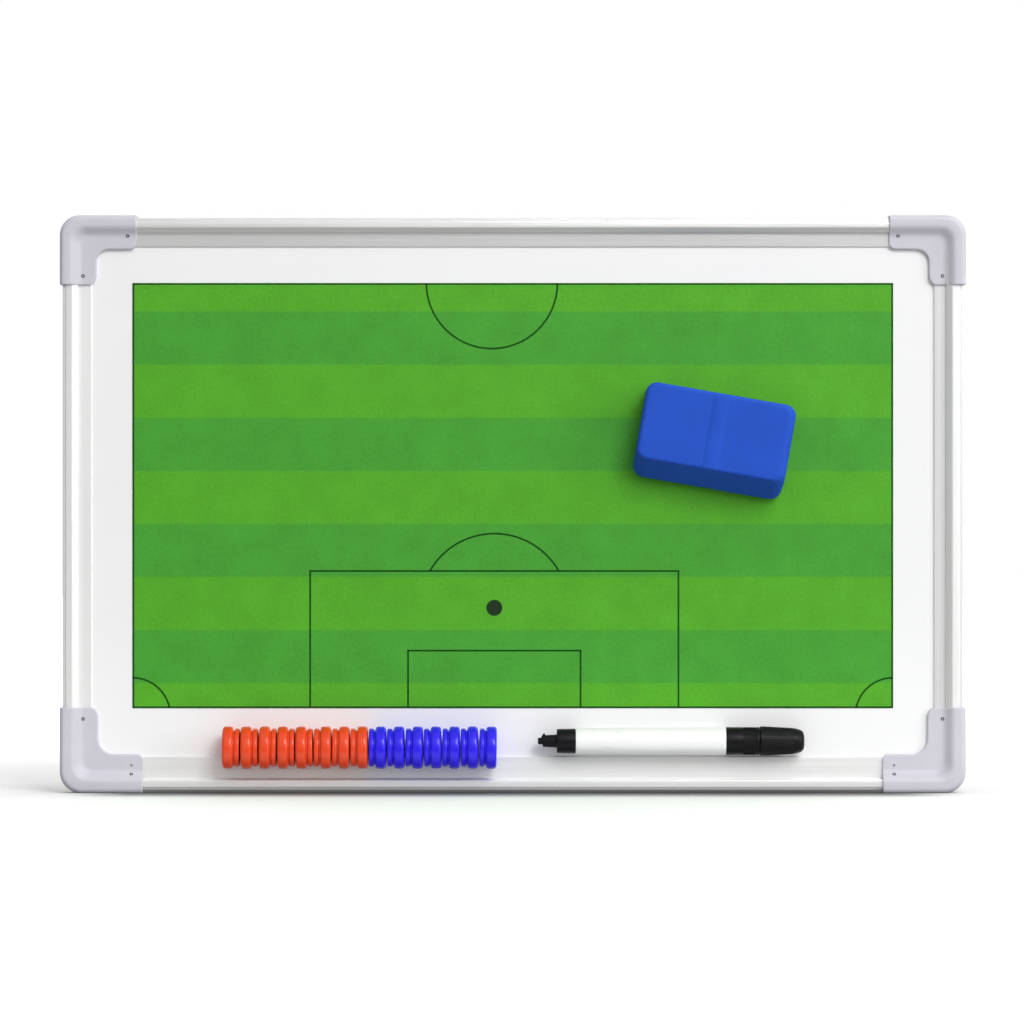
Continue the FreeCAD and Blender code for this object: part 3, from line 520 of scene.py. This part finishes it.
def lathe(profile, segments):
    """A mesh turned round the X axis from (along, radius) points; a zero radius closes an end."""
    body = bmesh.new()
    turns = [2 * math.pi * k / segments for k in range(segments)]
    rows = []
    for x, radius in profile:
        ring = [(x, radius * math.cos(a), radius * math.sin(a)) for a in turns] if radius else [(x, 0, 0)]
        rows.append([body.verts.new(point) for point in ring])
    bridge(body, rows)
    return close_up(body, "lathe")


def bored(mesh, x):
    """A cap with the blind hanging hole in its back, which a moulded socket lines."""
    back_to_front = Matrix.Translation((x, 0, 0)) @ Matrix.Rotation(-math.pi / 2, 4, "Z")
    drill = lathe([(-MM, 0), (-MM, hole_radius), (hole_deep, hole_radius), (hole_deep, 0)], 48)
    drill.transform(back_to_front)
    tool = bpy.data.objects.new("hole_drill", drill)
    blank = bpy.data.objects.new("cap_blank", mesh)
    for thing in (tool, blank):
        scene.collection.objects.link(thing)
    cut = blank.modifiers.new("hanging_hole", "BOOLEAN")
    cut.operation, cut.solver, cut.object = "DIFFERENCE", "EXACT", tool
    made = bpy.data.meshes.new_from_object(blank.evaluated_get(bpy.context.evaluated_depsgraph_get()))
    socket_start, socket_radius = cap_back_wall / 2, hole_radius + cap_wall
    socket = lathe([(hole_deep, 0), (hole_deep, hole_radius), (socket_start, hole_radius),
                    (socket_start, socket_radius), (hole_deep + cap_wall, socket_radius),
                    (hole_deep + cap_wall, 0)], 48)
    socket.transform(back_to_front)
    body = bmesh.new()
    body.from_mesh(made)
    body.from_mesh(socket)
    body.to_mesh(made)
    body.free()
    for thing in (tool, blank):
        bpy.data.objects.remove(thing)
    return made


top_sizes = {"leg_wide": 16.8 * MM, "side_wide": 18.1 * MM, "crest_in": 6.0 * MM, "slope_end": 9.6 * MM,
             "slope_corner": 4.5 * MM, "inner_round": 6.5 * MM}
foot_sizes = {"leg_wide": 19.2 * MM, "side_wide": 18.9 * MM, "crest_in": 6.7 * MM, "slope_end": 10.3 * MM,
              "slope_corner": 6.0 * MM, "inner_round": 8.0 * MM}
caps = []
for node in ("corner_top_left", "corner_top_right", "corner_bottom_left", "corner_bottom_right"):
    low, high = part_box(node)
    at_top, at_left = "top" in node, "left" in node
    drop = high.z - low.z + (0 if at_top else mouth_more)
    rings = cap_rings(high.x - low.x, drop, **(top_sizes if at_top else foot_sizes))
    mesh = skin([[(low.x + a if at_left else high.x - a, -depth, high.z - b if at_top else low.z + b)
                  for a, b, depth in ring] for ring in rings])
    if at_top:
        mesh = bored(mesh, -hole_across if at_left else hole_across)
    caps.append(show(node + "_cap", mesh, "board", [node], cap_plastic, sharp=38))


# Cap pins
# Hollow steel pins, driven through the flat of each cap into the rail below. From the front each is a
# dark ring round a bright dimple, the ring's darkness partly painted shade of the gap round the pin head;
# two smaller ones sit beside the lower pair.

# Blackened steel: a dark oxide skin that is rubbed brighter in spots of half a millimetre; its darkness
# also stands as painted shade of the gap round each pin head
pin_metal, tree, shader, place = start_finish("blackened_steel_and_gap_shade", 0.38, metallic=1.0)
mottled(tree, shader, place, 0.5 * MM, "#2B2C33", "#5A5C66", detail=2.0)

pin_radius = 0.8 * MM
small_pin_drop, small_pin_share = 4.3 * MM, 0.65
pins = []
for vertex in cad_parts["corner_rivets"].data.vertices:
    corner = Vector((vertex.co.x, vertex.co.z))
    known = next((pin for pin in pins if (corner - pin[0]).length < pin_radius * 3), None)
    if known:
        known.append(corner)
    else:
        pins.append([corner])
centres = []
for pin in pins:
    xs, zs = zip(*pin)
    centres.append((Vector(((min(xs) + max(xs)) / 2, (min(zs) + max(zs)) / 2)), 1.0))
lowest = min(centre.y for centre, share in centres)
for centre, share in list(centres):
    if centre.y - lowest < pin_radius:
        centres.append((centre + Vector((0, small_pin_drop)), small_pin_share))

# Each pin stands on the face of the cap that lies behind its centre
faces = [BVHTree.FromPolygons([v.co for v in cap.data.vertices], [p.vertices for p in cap.data.polygons])
         for cap in caps]
in_front = -0.1
spots = []
for centre, share in centres:
    for face in faces:
        place, normal = face.ray_cast(Vector((centre.x, in_front, centre.y)), Vector((0, 1, 0)))[:2]
        if place is not None:
            spots.append((place, normal, share))
            break
places, normals, shares = zip(*spots)
points = bpy.data.meshes.new("pin_places")
points.from_pydata(places, [], [])
facing = points.attributes.new("facing", "FLOAT_VECTOR", "POINT")
facing.data.foreach_set("vector", [n for normal in normals for n in normal])
scale = points.attributes.new("pin_scale", "FLOAT", "POINT")
scale.data.foreach_set("value", shares)

sizes = {"Ring Radius": 0.6 * MM, "Ring Wire": 0.28 * MM, "Dimple Radius": 0.42 * MM}
tree, given, result = start_geometry("hollow_pins", sizes)
loop = add(tree, "GeometryNodeCurvePrimitiveCircle", {"Resolution": 24, "Radius": given["Ring Radius"]})
wire = add(tree, "GeometryNodeCurvePrimitiveCircle", {"Resolution": 10, "Radius": given["Ring Wire"]})
ring = add(tree, "GeometryNodeCurveToMesh", {"Curve": loop, "Profile Curve": wire})
marked = add(tree, "GeometryNodeStoreNamedAttribute", {"Geometry": ring, "Name": "ring", "Value": True},
             data_type="BOOLEAN", domain="FACE")
dimple = add(tree, "GeometryNodeMeshCylinder",
             {"Vertices": 20, "Radius": given["Dimple Radius"], "Depth": given["Ring Wire"]})
pin = add(tree, "GeometryNodeJoinGeometry", {0: [marked, dimple]})
way = add(tree, "GeometryNodeInputNamedAttribute", {"Name": "facing"}, data_type="FLOAT_VECTOR")
aligned = add(tree, "FunctionNodeAlignRotationToVector", {"Vector": way}, axis="Z")
small = add(tree, "GeometryNodeInputNamedAttribute", {"Name": "pin_scale"}, data_type="FLOAT")
driven = add(tree, "GeometryNodeInstanceOnPoints",
             {"Points": given["Geometry"], "Instance": pin, "Rotation": aligned, "Scale": small})
whole = add(tree, "GeometryNodeRealizeInstances", {0: driven})
bright = add(tree, "GeometryNodeSetMaterial", {"Geometry": whole, "Material": cap_plastic})
on_ring = add(tree, "GeometryNodeInputNamedAttribute", {"Name": "ring"}, data_type="BOOLEAN")
add(tree, "GeometryNodeSetMaterial", {"Geometry": bright, "Selection": on_ring, "Material": pin_metal},
    result.inputs[0])
mesh = grow(points, tree, sizes)
mesh.attributes.remove(mesh.attributes["ring"])
show("cap_pins", mesh, "board", ["corner_rivets"])


# Disc magnets
# Glossy polypropylene discs moulded round a ferrite: a broad rounded rim, a narrow groove and a smaller
# foot ring whose dark ferrite face grips the steel. They stand on edge in a row on the lower rail.

def moulded_gloss(name, dark, bright):
    """Glossy moulded polypropylene: even colour with faint flow marks about 4 mm long and fine scuffs."""
    finish, tree, shader, place = start_finish(name, 0.3, ior=1.49)
    mottled(tree, shader, place, 4 * MM, dark, bright)
    scuffs = add(tree, "ShaderNodeTexNoise", {"Vector": place, "Scale": 1 / (0.8 * MM), "Detail": 3.0})
    add(tree, "ShaderNodeMapRange", {"Value": scuffs, "To Min": 0.16, "To Max": 0.32}, shader["Roughness"])
    return finish


gloss = {"orange": moulded_gloss("orange_polypropylene", "#E03C14", "#EC4E20"),
         "blue": moulded_gloss("blue_polypropylene", "#220CE0", "#311DF0")}

# Sintered ferrite: charcoal, matt, with a fine gritty break
ferrite, tree, shader, place = start_finish("sintered_ferrite", 0.7)
mottled(tree, shader, place, 0.3 * MM, "#1C1C1E", "#3A3A3D")

magnet_thick, magnet_radius, foot_radius = 8.5 * MM, 10.5 * MM, 9.5 * MM
dish_deep, dish_radius, rim_inner = 0.45 * MM, 7.4 * MM, 8.4 * MM
rim_wide, groove_radius = 5.2 * MM, 8.6 * MM
groove_start, groove_stop, foot_start = 0.15 * MM, 0.75 * MM, 0.95 * MM
ferrite_radius, ferrite_sunk = 8.0 * MM, 0.15 * MM
off_middle, edge_half = 3 * MM, 0.4 * MM
magnet_profile = rounded([
    (dish_deep, 0, 0),
    (dish_deep, dish_radius, 0.6 * MM),
    (0, rim_inner, 0.5 * MM),
    (0, magnet_radius, 1.6 * MM),
    (rim_wide, magnet_radius, 1.4 * MM),
    (rim_wide + groove_start, groove_radius, 0.2 * MM),
    (rim_wide + groove_stop, groove_radius, 0.2 * MM),
    (rim_wide + foot_start, foot_radius, 0.8 * MM),
    (magnet_thick, foot_radius, 0.8 * MM),
    (magnet_thick, ferrite_radius, 0.1 * MM),
    (magnet_thick - ferrite_sunk, ferrite_radius, 0),
    (magnet_thick - ferrite_sunk, 0, 0),
], closed=False, step=15)
for node, solid in sorted(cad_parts.items()):
    if not node.startswith(("orange_magnet", "blue_magnet")):
        continue
    colour = node.split("_")[0]
    low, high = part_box(node)
    middle = (low + high) / 2
    corners = [v.co for v in solid.data.vertices]
    broad_right = max(co.z for co in corners if co.x > middle.x + off_middle)
    broad_left = max(co.z for co in corners if co.x < middle.x - off_middle)
    edge = [co for co in corners if abs((co - middle).y) < edge_half]
    upper = min(co.x for co in edge if co.z > middle.z)
    lower = min(co.x for co in edge if co.z < middle.z)
    lean = math.atan2(upper - lower, 2 * foot_radius)
    mesh = lathe(magnet_profile, 72)
    mesh.materials.append(gloss[colour])
    mesh.materials.append(ferrite)
    for face in mesh.polygons:
        across = math.hypot(face.center.y, face.center.z)
        if face.center.x > magnet_thick - 2 * ferrite_sunk and across < ferrite_radius:
            face.material_index = 1
    spin = Matrix.Rotation(lean, 4, "Y")
    flip = Matrix.Rotation(0 if broad_left > broad_right else math.pi, 4, "Z")
    mesh.transform(Matrix.Translation(middle) @ spin @ flip @ Matrix.Translation((-magnet_thick / 2, 0, 0)))
    show(node + "_disc", mesh, node + "_body", [node], sharp=50)


# Marker
# A dry-wipe marker: a white polypropylene barrel between a black end plug with a hooked stem and a black
# front section, with a ribbed push-on cap. A fibre reservoir feeds the nib inside the cap.
barrel_low, barrel_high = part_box("marker_barrel")
barrel_middle = (barrel_low + barrel_high) / 2
marker_axis = Vector((barrel_low.x, barrel_middle.y, barrel_middle.z))

# Black polypropylene: near black, with a soft sheen that handling has dulled in patches of 3 mm
black_gloss, tree, shader, place = start_finish("black_polypropylene", 0.4, ior=1.49, specular=0.2)
haze = mottled(tree, shader, place, 3 * MM, "#08080A", "#121216")
add(tree, "ShaderNodeMapRange", {"Value": haze, "To Min": 0.32, "To Max": 0.5}, shader["Roughness"])

# White polypropylene: the glossy barrel, with the faint lengthwise scuffs of use
white_gloss, tree, shader, place = start_finish("white_polypropylene", 0.3, ior=1.49)
lengthwise = add(tree, "ShaderNodeMapping", {"Vector": place, "Scale": (0.12, 1.0, 1.0)})
scuffs = add(tree, "ShaderNodeTexNoise", {"Vector": lengthwise, "Scale": 1 / (1.2 * MM), "Detail": 4.0})
thin = add(tree, "ShaderNodeMapRange", {"Value": scuffs, "From Min": 0.6, "From Max": 0.78})
add(tree, "ShaderNodeMix", {0: thin, 6: linear("#F6F6F7"), 7: linear("#E2E2E4")}, shader["Base Color"],
    data_type="RGBA")

# Ink-soaked fibre: black and quite matt, with strands 0.2 mm thick
fibre, tree, shader, place = start_finish("ink_soaked_fibre", 0.9)
mottled(tree, shader, place, 0.2 * MM, "#050506", "#191A1D", detail=2.0)
for node in ("marker_nib", "marker_ink_reservoir"):
    dress(node, fibre)

# Nickel plate on the cap's magnet: a warm, clear metal shine with a slight cloud
nickel, tree, shader, place = start_finish("nickel_plate", 0.22, metallic=1.0)
mottled(tree, shader, place, 2 * MM, "#B9B4A8", "#D8D4CA", detail=2.0)
dress("marker_cap_magnet", nickel)

# Each turned piece: its corners as (along from the barrel's left end, radius, rounding) in mm, its finish,
# its body, its slot and the solid that it stands for
for name, corners, finish, body, slot, node in (
        ("marker_barrel_tube",
         [(0.2, 5.4, 0), (0, 6.44, 0.3), (1.25, 6.46, 0.02), (1.3, 6.52, 0.03), (73.6, 6.95, 0.03),
          (73.65, 6.88, 0.02), (74.6, 6.86, 0.3), (74.4, 5.4, 0)],
         white_gloss, "marker", "white_plastic", "marker_barrel"),
        ("marker_end_plug_stem",
         [(-18.7, 0, 0), (-18.7, 1.65, 0.7), (-16.4, 1.7, 0.1), (-16.2, 2.95, 0.4), (-9.3, 3.25, 0.3),
          (-9.3, 5.95, 0.5), (-0.1, 6.15, 0.1), (0, 5.4, 0.05), (6.0, 5.4, 0.3), (6.0, 0, 0)],
         black_gloss, "marker", "black_plastic", "marker_end_plug"),
        ("marker_front_grip",
         [(68.6, 4.35, 0), (68.6, 5.4, 0.2), (74.6, 5.4, 0.05), (74.6, 6.9, 0.15), (82.8, 6.85, 0.05),
          (82.9, 6.65, 0.05), (89.4, 6.65, 0.05), (89.6, 6.9, 0.25), (91.2, 6.9, 0.3), (91.2, 5.8, 0.1),
          (97.0, 5.8, 0.2), (97.0, 4.4, 0.2), (101.5, 2.5, 0.3), (101.5, 1.66, 0.05), (90.0, 1.66, 0)],
         black_gloss, "marker", "black_plastic", "marker_front_section"),
        ("marker_cap_shell",
         [(99.0, 5.95, 0), (91.5, 5.95, 0.1), (91.5, 7.35, 0.35), (92.4, 7.35, 0.15), (92.5, 7.15, 0.15),
          (109.4, 6.2, 1.5), (113.3, 5.0, 3.0), (113.5, 0, 0)],
         black_gloss, "marker_cap_body", "black_plastic", "marker_cap")):
    mesh = lathe(rounded([(x * MM, r * MM, c * MM) for x, r, c in corners], closed=False), 64)
    mesh.transform(Matrix.Translation(marker_axis))
    show(name, mesh, body, [node], finish, sharp=45)

# The hook on the plug's stem is a small moulded wedge
hook_half, hook_round = 0.9 * MM, 0.15 * MM
hook = rounded([(x * MM, z * MM, hook_round) for x, z in
                [(-17.0, 1.2), (-16.9, 2.3), (-15.7, 4.0), (-15.3, 3.8), (-14.9, 2.6), (-14.9, 1.2)]])
mesh = skin([[marker_axis + Vector((p.x, y, p.y)) for p in hook] for y in (-hook_half, hook_half)])
show("marker_plug_hook", mesh, "marker", finish=black_gloss)

# Fine ribs for grip run along the front section and the cap, each a rounded ridge repeated round the axis
sizes = {"Rib Count": 44, "Rib Radius": 0.2 * MM}
tree, given, result = start_geometry("grip_ribs", sizes)
wire = add(tree, "GeometryNodeCurvePrimitiveCircle", {"Resolution": 8, "Radius": given["Rib Radius"]})
ridge = add(tree, "GeometryNodeCurveToMesh",
            {"Curve": given["Geometry"], "Profile Curve": wire, "Fill Caps": True})
single = add(tree, "GeometryNodeGeometryToInstance", {0: ridge})
copies = add(tree, "GeometryNodeDuplicateElements", {"Geometry": single, "Amount": given["Rib Count"]},
             domain="INSTANCE").outputs
step = add(tree, "ShaderNodeMath", {0: 2 * math.pi, 1: given["Rib Count"]}, operation="DIVIDE")
angle = add(tree, "ShaderNodeMath", {0: copies["Duplicate Index"], 1: step}, operation="MULTIPLY")
swing = add(tree, "ShaderNodeCombineXYZ", {0: angle})
around = add(tree, "GeometryNodeRotateInstances",
             {"Instances": copies["Geometry"], "Rotation": swing, "Local Space": False})
whole = add(tree, "GeometryNodeRealizeInstances", {0: around})
add(tree, "GeometryNodeSetMaterial", {"Geometry": whole, "Material": black_gloss}, result.inputs[0])
for name, body, rib in (
        ("marker_grip_ribs", "marker", [(83.1, 6.66), (89.2, 6.66)]),
        ("marker_cap_ribs", "marker_cap_body",
         [(92.8, 7.08), (98, 6.79), (103, 6.51), (107.6, 6.25), (108.6, 6.08)])):
    mesh = grow(route(name, [[(x * MM, 0, radius * MM) for x, radius in rib]]), tree, sizes)
    mesh.transform(Matrix.Translation(marker_axis))
    show(name, mesh, body)


# Eraser
# A board eraser: a moulded soft-plastic block, cut back along its lower side for the fingers, with a
# shallow band across its face, on a pressed felt pad; two ferrite discs inside hold it on the steel.
dress("eraser_magnets", ferrite)
pad_low, pad_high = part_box("eraser_felt")
eraser_middle = (pad_low + pad_high) / 2
eraser_lean = math.radians(9.9)
felt_back, felt_front = -pad_high.y, -pad_low.y
band_left, band_right, band_soft, band_high = -4.3 * MM, 2.9 * MM, 0.3 * MM, 0.22 * MM
rim_deep, tuft = 2.5 * MM, 1.1 * MM
arc_steps, side_steps = 6, 8


def outline(left, right, foot, top, radius, stops):
    """A rounded rectangle as four sides, each from the middle of one corner's arc to the next one's."""
    corners = [((left + radius, foot + radius), 225), ((right - radius, foot + radius), 315),
               ((right - radius, top - radius), 45), ((left + radius, top - radius), 135)]
    sides = []
    for i, ((x, z), angle) in enumerate(corners):
        x_next, z_next = corners[(i + 1) % 4][0]
        turn = [math.radians(angle + 45 * k / arc_steps) for k in range(arc_steps)]
        side = [Vector((x + radius * math.cos(a), z + radius * math.sin(a))) for a in turn]
        out = Vector((math.cos(math.radians(angle + 45)), math.sin(math.radians(angle + 45)))) * radius
        way = [k / side_steps for k in range(side_steps + 1)]
        if i in (0, 2):
            way = sorted([0.0, 1.0] + [(stop - x) / (x_next - x) for stop in stops])
        side += [Vector((x, z)).lerp(Vector((x_next, z_next)), s) + out for s in way]
        turn = [math.radians(angle + 45 + 45 * k / arc_steps) for k in range(1, arc_steps + 1)]
        side += [Vector((x_next + radius * math.cos(a), z_next + radius * math.sin(a))) for a in turn]
        sides.append(side)
    return sides


def soft_block(layers, stops, rise, stir=0.0):
    """A closed block through outlines at rising depths, with a face patch that takes its relief from rise;
    stir is how far a ragged edge strays."""
    body = bmesh.new()
    face_depth = layers[-1][5]

    def corner(p, depth):
        swell = stir * noise.noise(Vector((p.x, depth, p.y)) / tuft) if stir else 0
        x = p.x * math.cos(eraser_lean) + p.y * math.sin(eraser_lean)
        z = p.y * math.cos(eraser_lean) - p.x * math.sin(eraser_lean)
        length = math.hypot(x, z)
        return body.verts.new((eraser_middle.x + x * (1 + swell / length), -depth,
                               eraser_middle.z + z * (1 + swell / length)))

    rings = []
    for left, right, foot, top, radius, depth in layers:
        sides = outline(left, right, foot, top, radius, stops)
        ring = [p for side in sides for p in side[:-1]]
        near_face = max(1 - (face_depth - depth) / rim_deep, 0)
        rings.append([corner(p, depth + near_face * rise(p.x)) for p in ring])
    bridge(body, rings)
    body.faces.new(rings[0])
    foot_side, right_side, top_side, left_side = sides
    top_side, left_side = top_side[::-1], left_side[::-1]
    across, up = len(foot_side) - 1, len(right_side) - 1
    edge = rings[-1]
    grid = {}
    for i in range(across + 1):
        grid[i, 0] = edge[i]
        grid[i, up] = edge[(2 * across + up - i) % len(edge)]
    for j in range(1, up):
        grid[across, j] = edge[across + j]
        grid[0, j] = edge[len(edge) - j]
    for i in range(1, across):
        for j in range(1, up):
            s, t = i / across, j / up
            level = foot_side[i].lerp(top_side[i], t) + left_side[j].lerp(right_side[j], s)
            bend = foot_side[0].lerp(foot_side[-1], s).lerp(top_side[0].lerp(top_side[-1], s), t)
            p = level - bend
            grid[i, j] = corner(p, face_depth + rise(p.x))
    for i in range(across):
        for j in range(up):
            body.faces.new((grid[i, j], grid[i + 1, j], grid[i + 1, j + 1], grid[i, j + 1]))
    return close_up(body, "block")


def band_rise(u):
    """Height of the shallow band across the face, with soft edges."""
    def soft(edge):
        t = min(max((u - edge + band_soft) / (2 * band_soft), 0), 1)
        return t * t * (3 - 2 * t)
    return band_high * (soft(band_left) - soft(band_right))


block_left, block_right, block_foot, block_top = -38.4, 37.2, -24.4, 22.9


def layer(left, right, foot, top, radius, depth):
    """An outline inside the block's four sides, by insets and a corner radius in mm, at a depth."""
    return ((block_left + left) * MM, (block_right - right) * MM, (block_foot + foot) * MM,
            (block_top - top) * MM, radius * MM, depth)


# Insets of the left, right, foot and top sides, the corner radius, and the height above the felt, in mm
eraser_layers = [layer(*insets, felt_front + height * MM) for *insets, height in (
        (1.3, 0.9, 0.7, 0.7, 5.2, 0.0), (0.8, 0.4, 0.2, 0.2, 5.6, 0.2), (0.6, 0.2, 0.0, 0.0, 5.8, 0.7),
        (0.6, 0.1, 0.9, 0.05, 5.8, 2.6), (0.6, 0.1, 1.7, 0.05, 5.8, 4.2), (0.6, 0.0, 2.1, 0.05, 5.8, 5.0),
        (0.55, 0.0, 2.7, 0.1, 5.8, 6.2), (0.45, 0.0, 5.0, 0.1, 5.7, 10.6), (0.4, 0.1, 7.0, 0.1, 5.6, 14.4),
        (0.45, 0.6, 8.0, 0.1, 5.5, 16.4), (0.65, 1.2, 8.5, 0.2, 5.4, 17.4), (1.0, 2.0, 8.9, 0.5, 5.2, 18.2),
        (1.6, 3.0, 9.4, 0.95, 4.8, 18.75), (2.2, 3.9, 9.9, 1.5, 4.3, 18.97),
        (2.75, 4.6, 10.4, 2.0, 3.9, 19.0))]
band_stops = [-24 * MM, -14 * MM, (band_left + band_right) / 2, 11 * MM, 19 * MM]
for edge in (band_left, band_right):
    band_stops += [edge + band_soft * share for share in (-1, -0.5, 0, 0.5, 1)]

# Soft blue plastic: matt, with a faint cloudy bloom and a fine skin like orange peel
blue_matt, tree, shader, place = start_finish("blue_soft_plastic", 0.7, ior=1.48, specular=0.25)
mottled(tree, shader, place, 18 * MM, "#1C4DBE", "#2457CD")
cells = add(tree, "ShaderNodeTexNoise", {"Vector": place, "Scale": 1 / (0.5 * MM), "Detail": 2.0})
add(tree, "ShaderNodeBump", {"Height": cells, "Strength": 0.15, "Distance": 0.1 * MM}, shader["Normal"])
show("eraser_block", soft_block(eraser_layers, band_stops, band_rise), "eraser", ["eraser_body"],
     blue_matt, sharp=60)

# Pressed grey felt: matted wool, rough to the eye, with a slightly ragged cut edge
felt, tree, shader, place = start_finish("pressed_grey_felt", 0.95, specular=0.1)
wool = mottled(tree, shader, place, 0.7 * MM, "#3E3F43", "#6F7074", detail=5.0)
add(tree, "ShaderNodeBump", {"Height": wool, "Strength": 0.6, "Distance": 0.4 * MM}, shader["Normal"])
pad_inset, pad_round = 1.0, 5
felt_layers = [layer(*[pad_inset + more] * 4, pad_round, blend(felt_back, felt_front, share))
               for more, share in (
        (0.5, 0.0), (0.15, 0.08), (0, 0.25), (0.1, 0.4), (0, 0.55), (0.1, 0.75), (0, 1.0))]
show("eraser_felt_pad", soft_block(felt_layers, band_stops, lambda u: 0, stir=0.25 * MM), "eraser",
     ["eraser_felt"], felt, sharp=60)


# Studio
# A pale paper floor that the board stands on, one large softbox at the upper right with a strip light
# beside it, a dim room that is brighter above, behind and on the right, and the photograph's camera.
floor_size = 12
bpy.ops.mesh.primitive_plane_add(size=floor_size, location=(0, 0, cad_low.z))
floor = bpy.context.object
floor.name = "floor"
paper, tree, shader, place = start_finish("white_paper", 0.9)
shader["Emission Color"].default_value = (1, 1, 1, 1)

# The paper glows, painted light, more strongly away from the board, so it is dimmer close to the board
away = add(tree, "ShaderNodeVectorMath", {0: place}, operation="LENGTH")
far = add(tree, "ShaderNodeMapRange", {"Value": away, "From Min": 0.15, "From Max": 1.2,
                                       "To Min": 0.0, "To Max": 0.8})
reach = add(tree, "ShaderNodeVectorMath", {0: place}, operation="ABSOLUTE")
spread = add(tree, "ShaderNodeSeparateXYZ", {0: reach}).outputs
beside = add(tree, "ShaderNodeMath", {0: spread["X"], 1: cad_high.x}, operation="SUBTRACT")
apart = add(tree, "ShaderNodeMath", {0: spread["Y"], 1: beside}, operation="MAXIMUM")
near = add(tree, "ShaderNodeMapRange", {"Value": apart, "From Min": 0.012, "From Max": 0.09,
                                        "To Min": 0.0, "To Max": 0.16})
add(tree, "ShaderNodeMath", {0: far, 1: near}, shader["Emission Strength"], operation="ADD")

# A painted contact shadow darkens the paper where the board meets it. To the board it is a greyer sheet,
# with a glowing strip ahead, painted light, that lifts the undersides
ahead = add(tree, "ShaderNodeSeparateXYZ", {0: place}).outputs["Y"]
under, between, begin, end = [
    add(tree, "ShaderNodeMapRange", {"Value": distance, "From Min": start, "From Max": stop,
                                     "To Min": first, "To Max": last}, interpolation_type="SMOOTHSTEP")
    for distance, start, stop, first, last in (
        (spread["Y"], 0.02, 0.06, 1.0, 0.0), (beside, -0.04, 0.005, 1.0, 0.0),
        (ahead, -0.025, -0.045, 0.0, 0.7), (ahead, -0.06, -0.1, 1.0, 0.0))]
shade = add(tree, "ShaderNodeMath", {0: under, 1: between}, operation="MULTIPLY")
add(tree, "ShaderNodeMix", {0: shade, 6: linear("#F4F4F4"), 7: linear("#6A6A6A")}, shader["Base Color"],
    data_type="RGBA")
# The glowing strip ahead is painted light that only the board sees
painted_bounce_glow = add(tree, "ShaderNodeMath", {0: begin, 1: end}, operation="MULTIPLY")
lift = add(tree, "ShaderNodeEmission", {"Strength": painted_bounce_glow})
matt = add(tree, "ShaderNodeBsdfDiffuse", {"Color": linear("#989898")})
dim = add(tree, "ShaderNodeAddShader", {0: matt, 1: lift})
seen = add(tree, "ShaderNodeLightPath").outputs["Is Camera Ray"]
add(tree, "ShaderNodeMixShader", {0: seen, 1: dim, 2: tree.nodes["Principled BSDF"]},
    tree.nodes["Material Output"].inputs["Surface"])
floor.data.materials.append(paper)
floor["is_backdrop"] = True

# The room's light by direction: the axis, two places along it, and the strength at each
world = bpy.data.worlds.new("studio")
scene.world = world
world.use_nodes = True
tree = world.node_tree
sky = tree.nodes["Background"]
sky.inputs["Color"].default_value = (1, 1, 1, 1)
way = add(tree, "ShaderNodeSeparateXYZ", {0: add(tree, "ShaderNodeTexCoord").outputs["Generated"]}).outputs
room = 0.0
for axis, start, stop, first, last in (
        ("X", 0.0, 1.0, 0.1, 0.75), ("Z", 0.0, 1.0, 0.0, 0.4),
        ("Y", 0.0, -1.0, 0.0, 0.3), ("Y", 0.1, 0.8, 0.0, 0.45)):
    part = add(tree, "ShaderNodeMapRange", {"Value": way[axis], "From Min": start, "From Max": stop,
                                            "To Min": first, "To Max": last})
    room = add(tree, "ShaderNodeMath", {0: room, 1: part}, operation="ADD")
seen = add(tree, "ShaderNodeLightPath").outputs["Is Camera Ray"]
add(tree, "ShaderNodeMix", {0: seen, 2: room, 3: 1.0}, sky.inputs["Strength"])
board_middle = Vector((0, cad_high.y, (cad_low.z + cad_high.z) / 2))


def softbox(name, way, far, wide, tall, watts):
    """A rectangular area light, a distance away along a direction, that faces the middle of the board."""
    lamp = bpy.data.lights.new(name, "AREA")
    lamp.shape = "RECTANGLE"
    lamp.size, lamp.size_y = wide, tall
    lamp.energy = watts
    holder = bpy.data.objects.new(name, lamp)
    holder.location = board_middle + Vector(way).normalized() * far
    holder.rotation_euler = (-Vector(way)).to_track_quat("-Z", "Y").to_euler()
    scene.collection.objects.link(holder)


softbox("key_softbox", (0.36, -0.82, 0.56), far=3.2, wide=1.4, tall=1.4, watts=55)
softbox("side_strip", (0.85, -0.5, 0.1), far=2.4, wide=0.5, tall=1.8, watts=13)

camera_far, camera_across, camera_up = 2.6, -0.4 * MM, -140.5 * MM
photo_wide, film_gate = 0.5094, 36
camera = bpy.data.objects.new("camera", bpy.data.cameras.new("camera"))
camera.data.sensor_width = film_gate
camera.data.lens = film_gate * camera_far / photo_wide
camera.location = (camera_across, -panel_front - camera_far, camera_up)
camera.rotation_euler = (math.pi / 2, 0, 0)
scene.collection.objects.link(camera)
scene.camera = camera
scene.view_settings.view_transform = "Standard"

low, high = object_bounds()
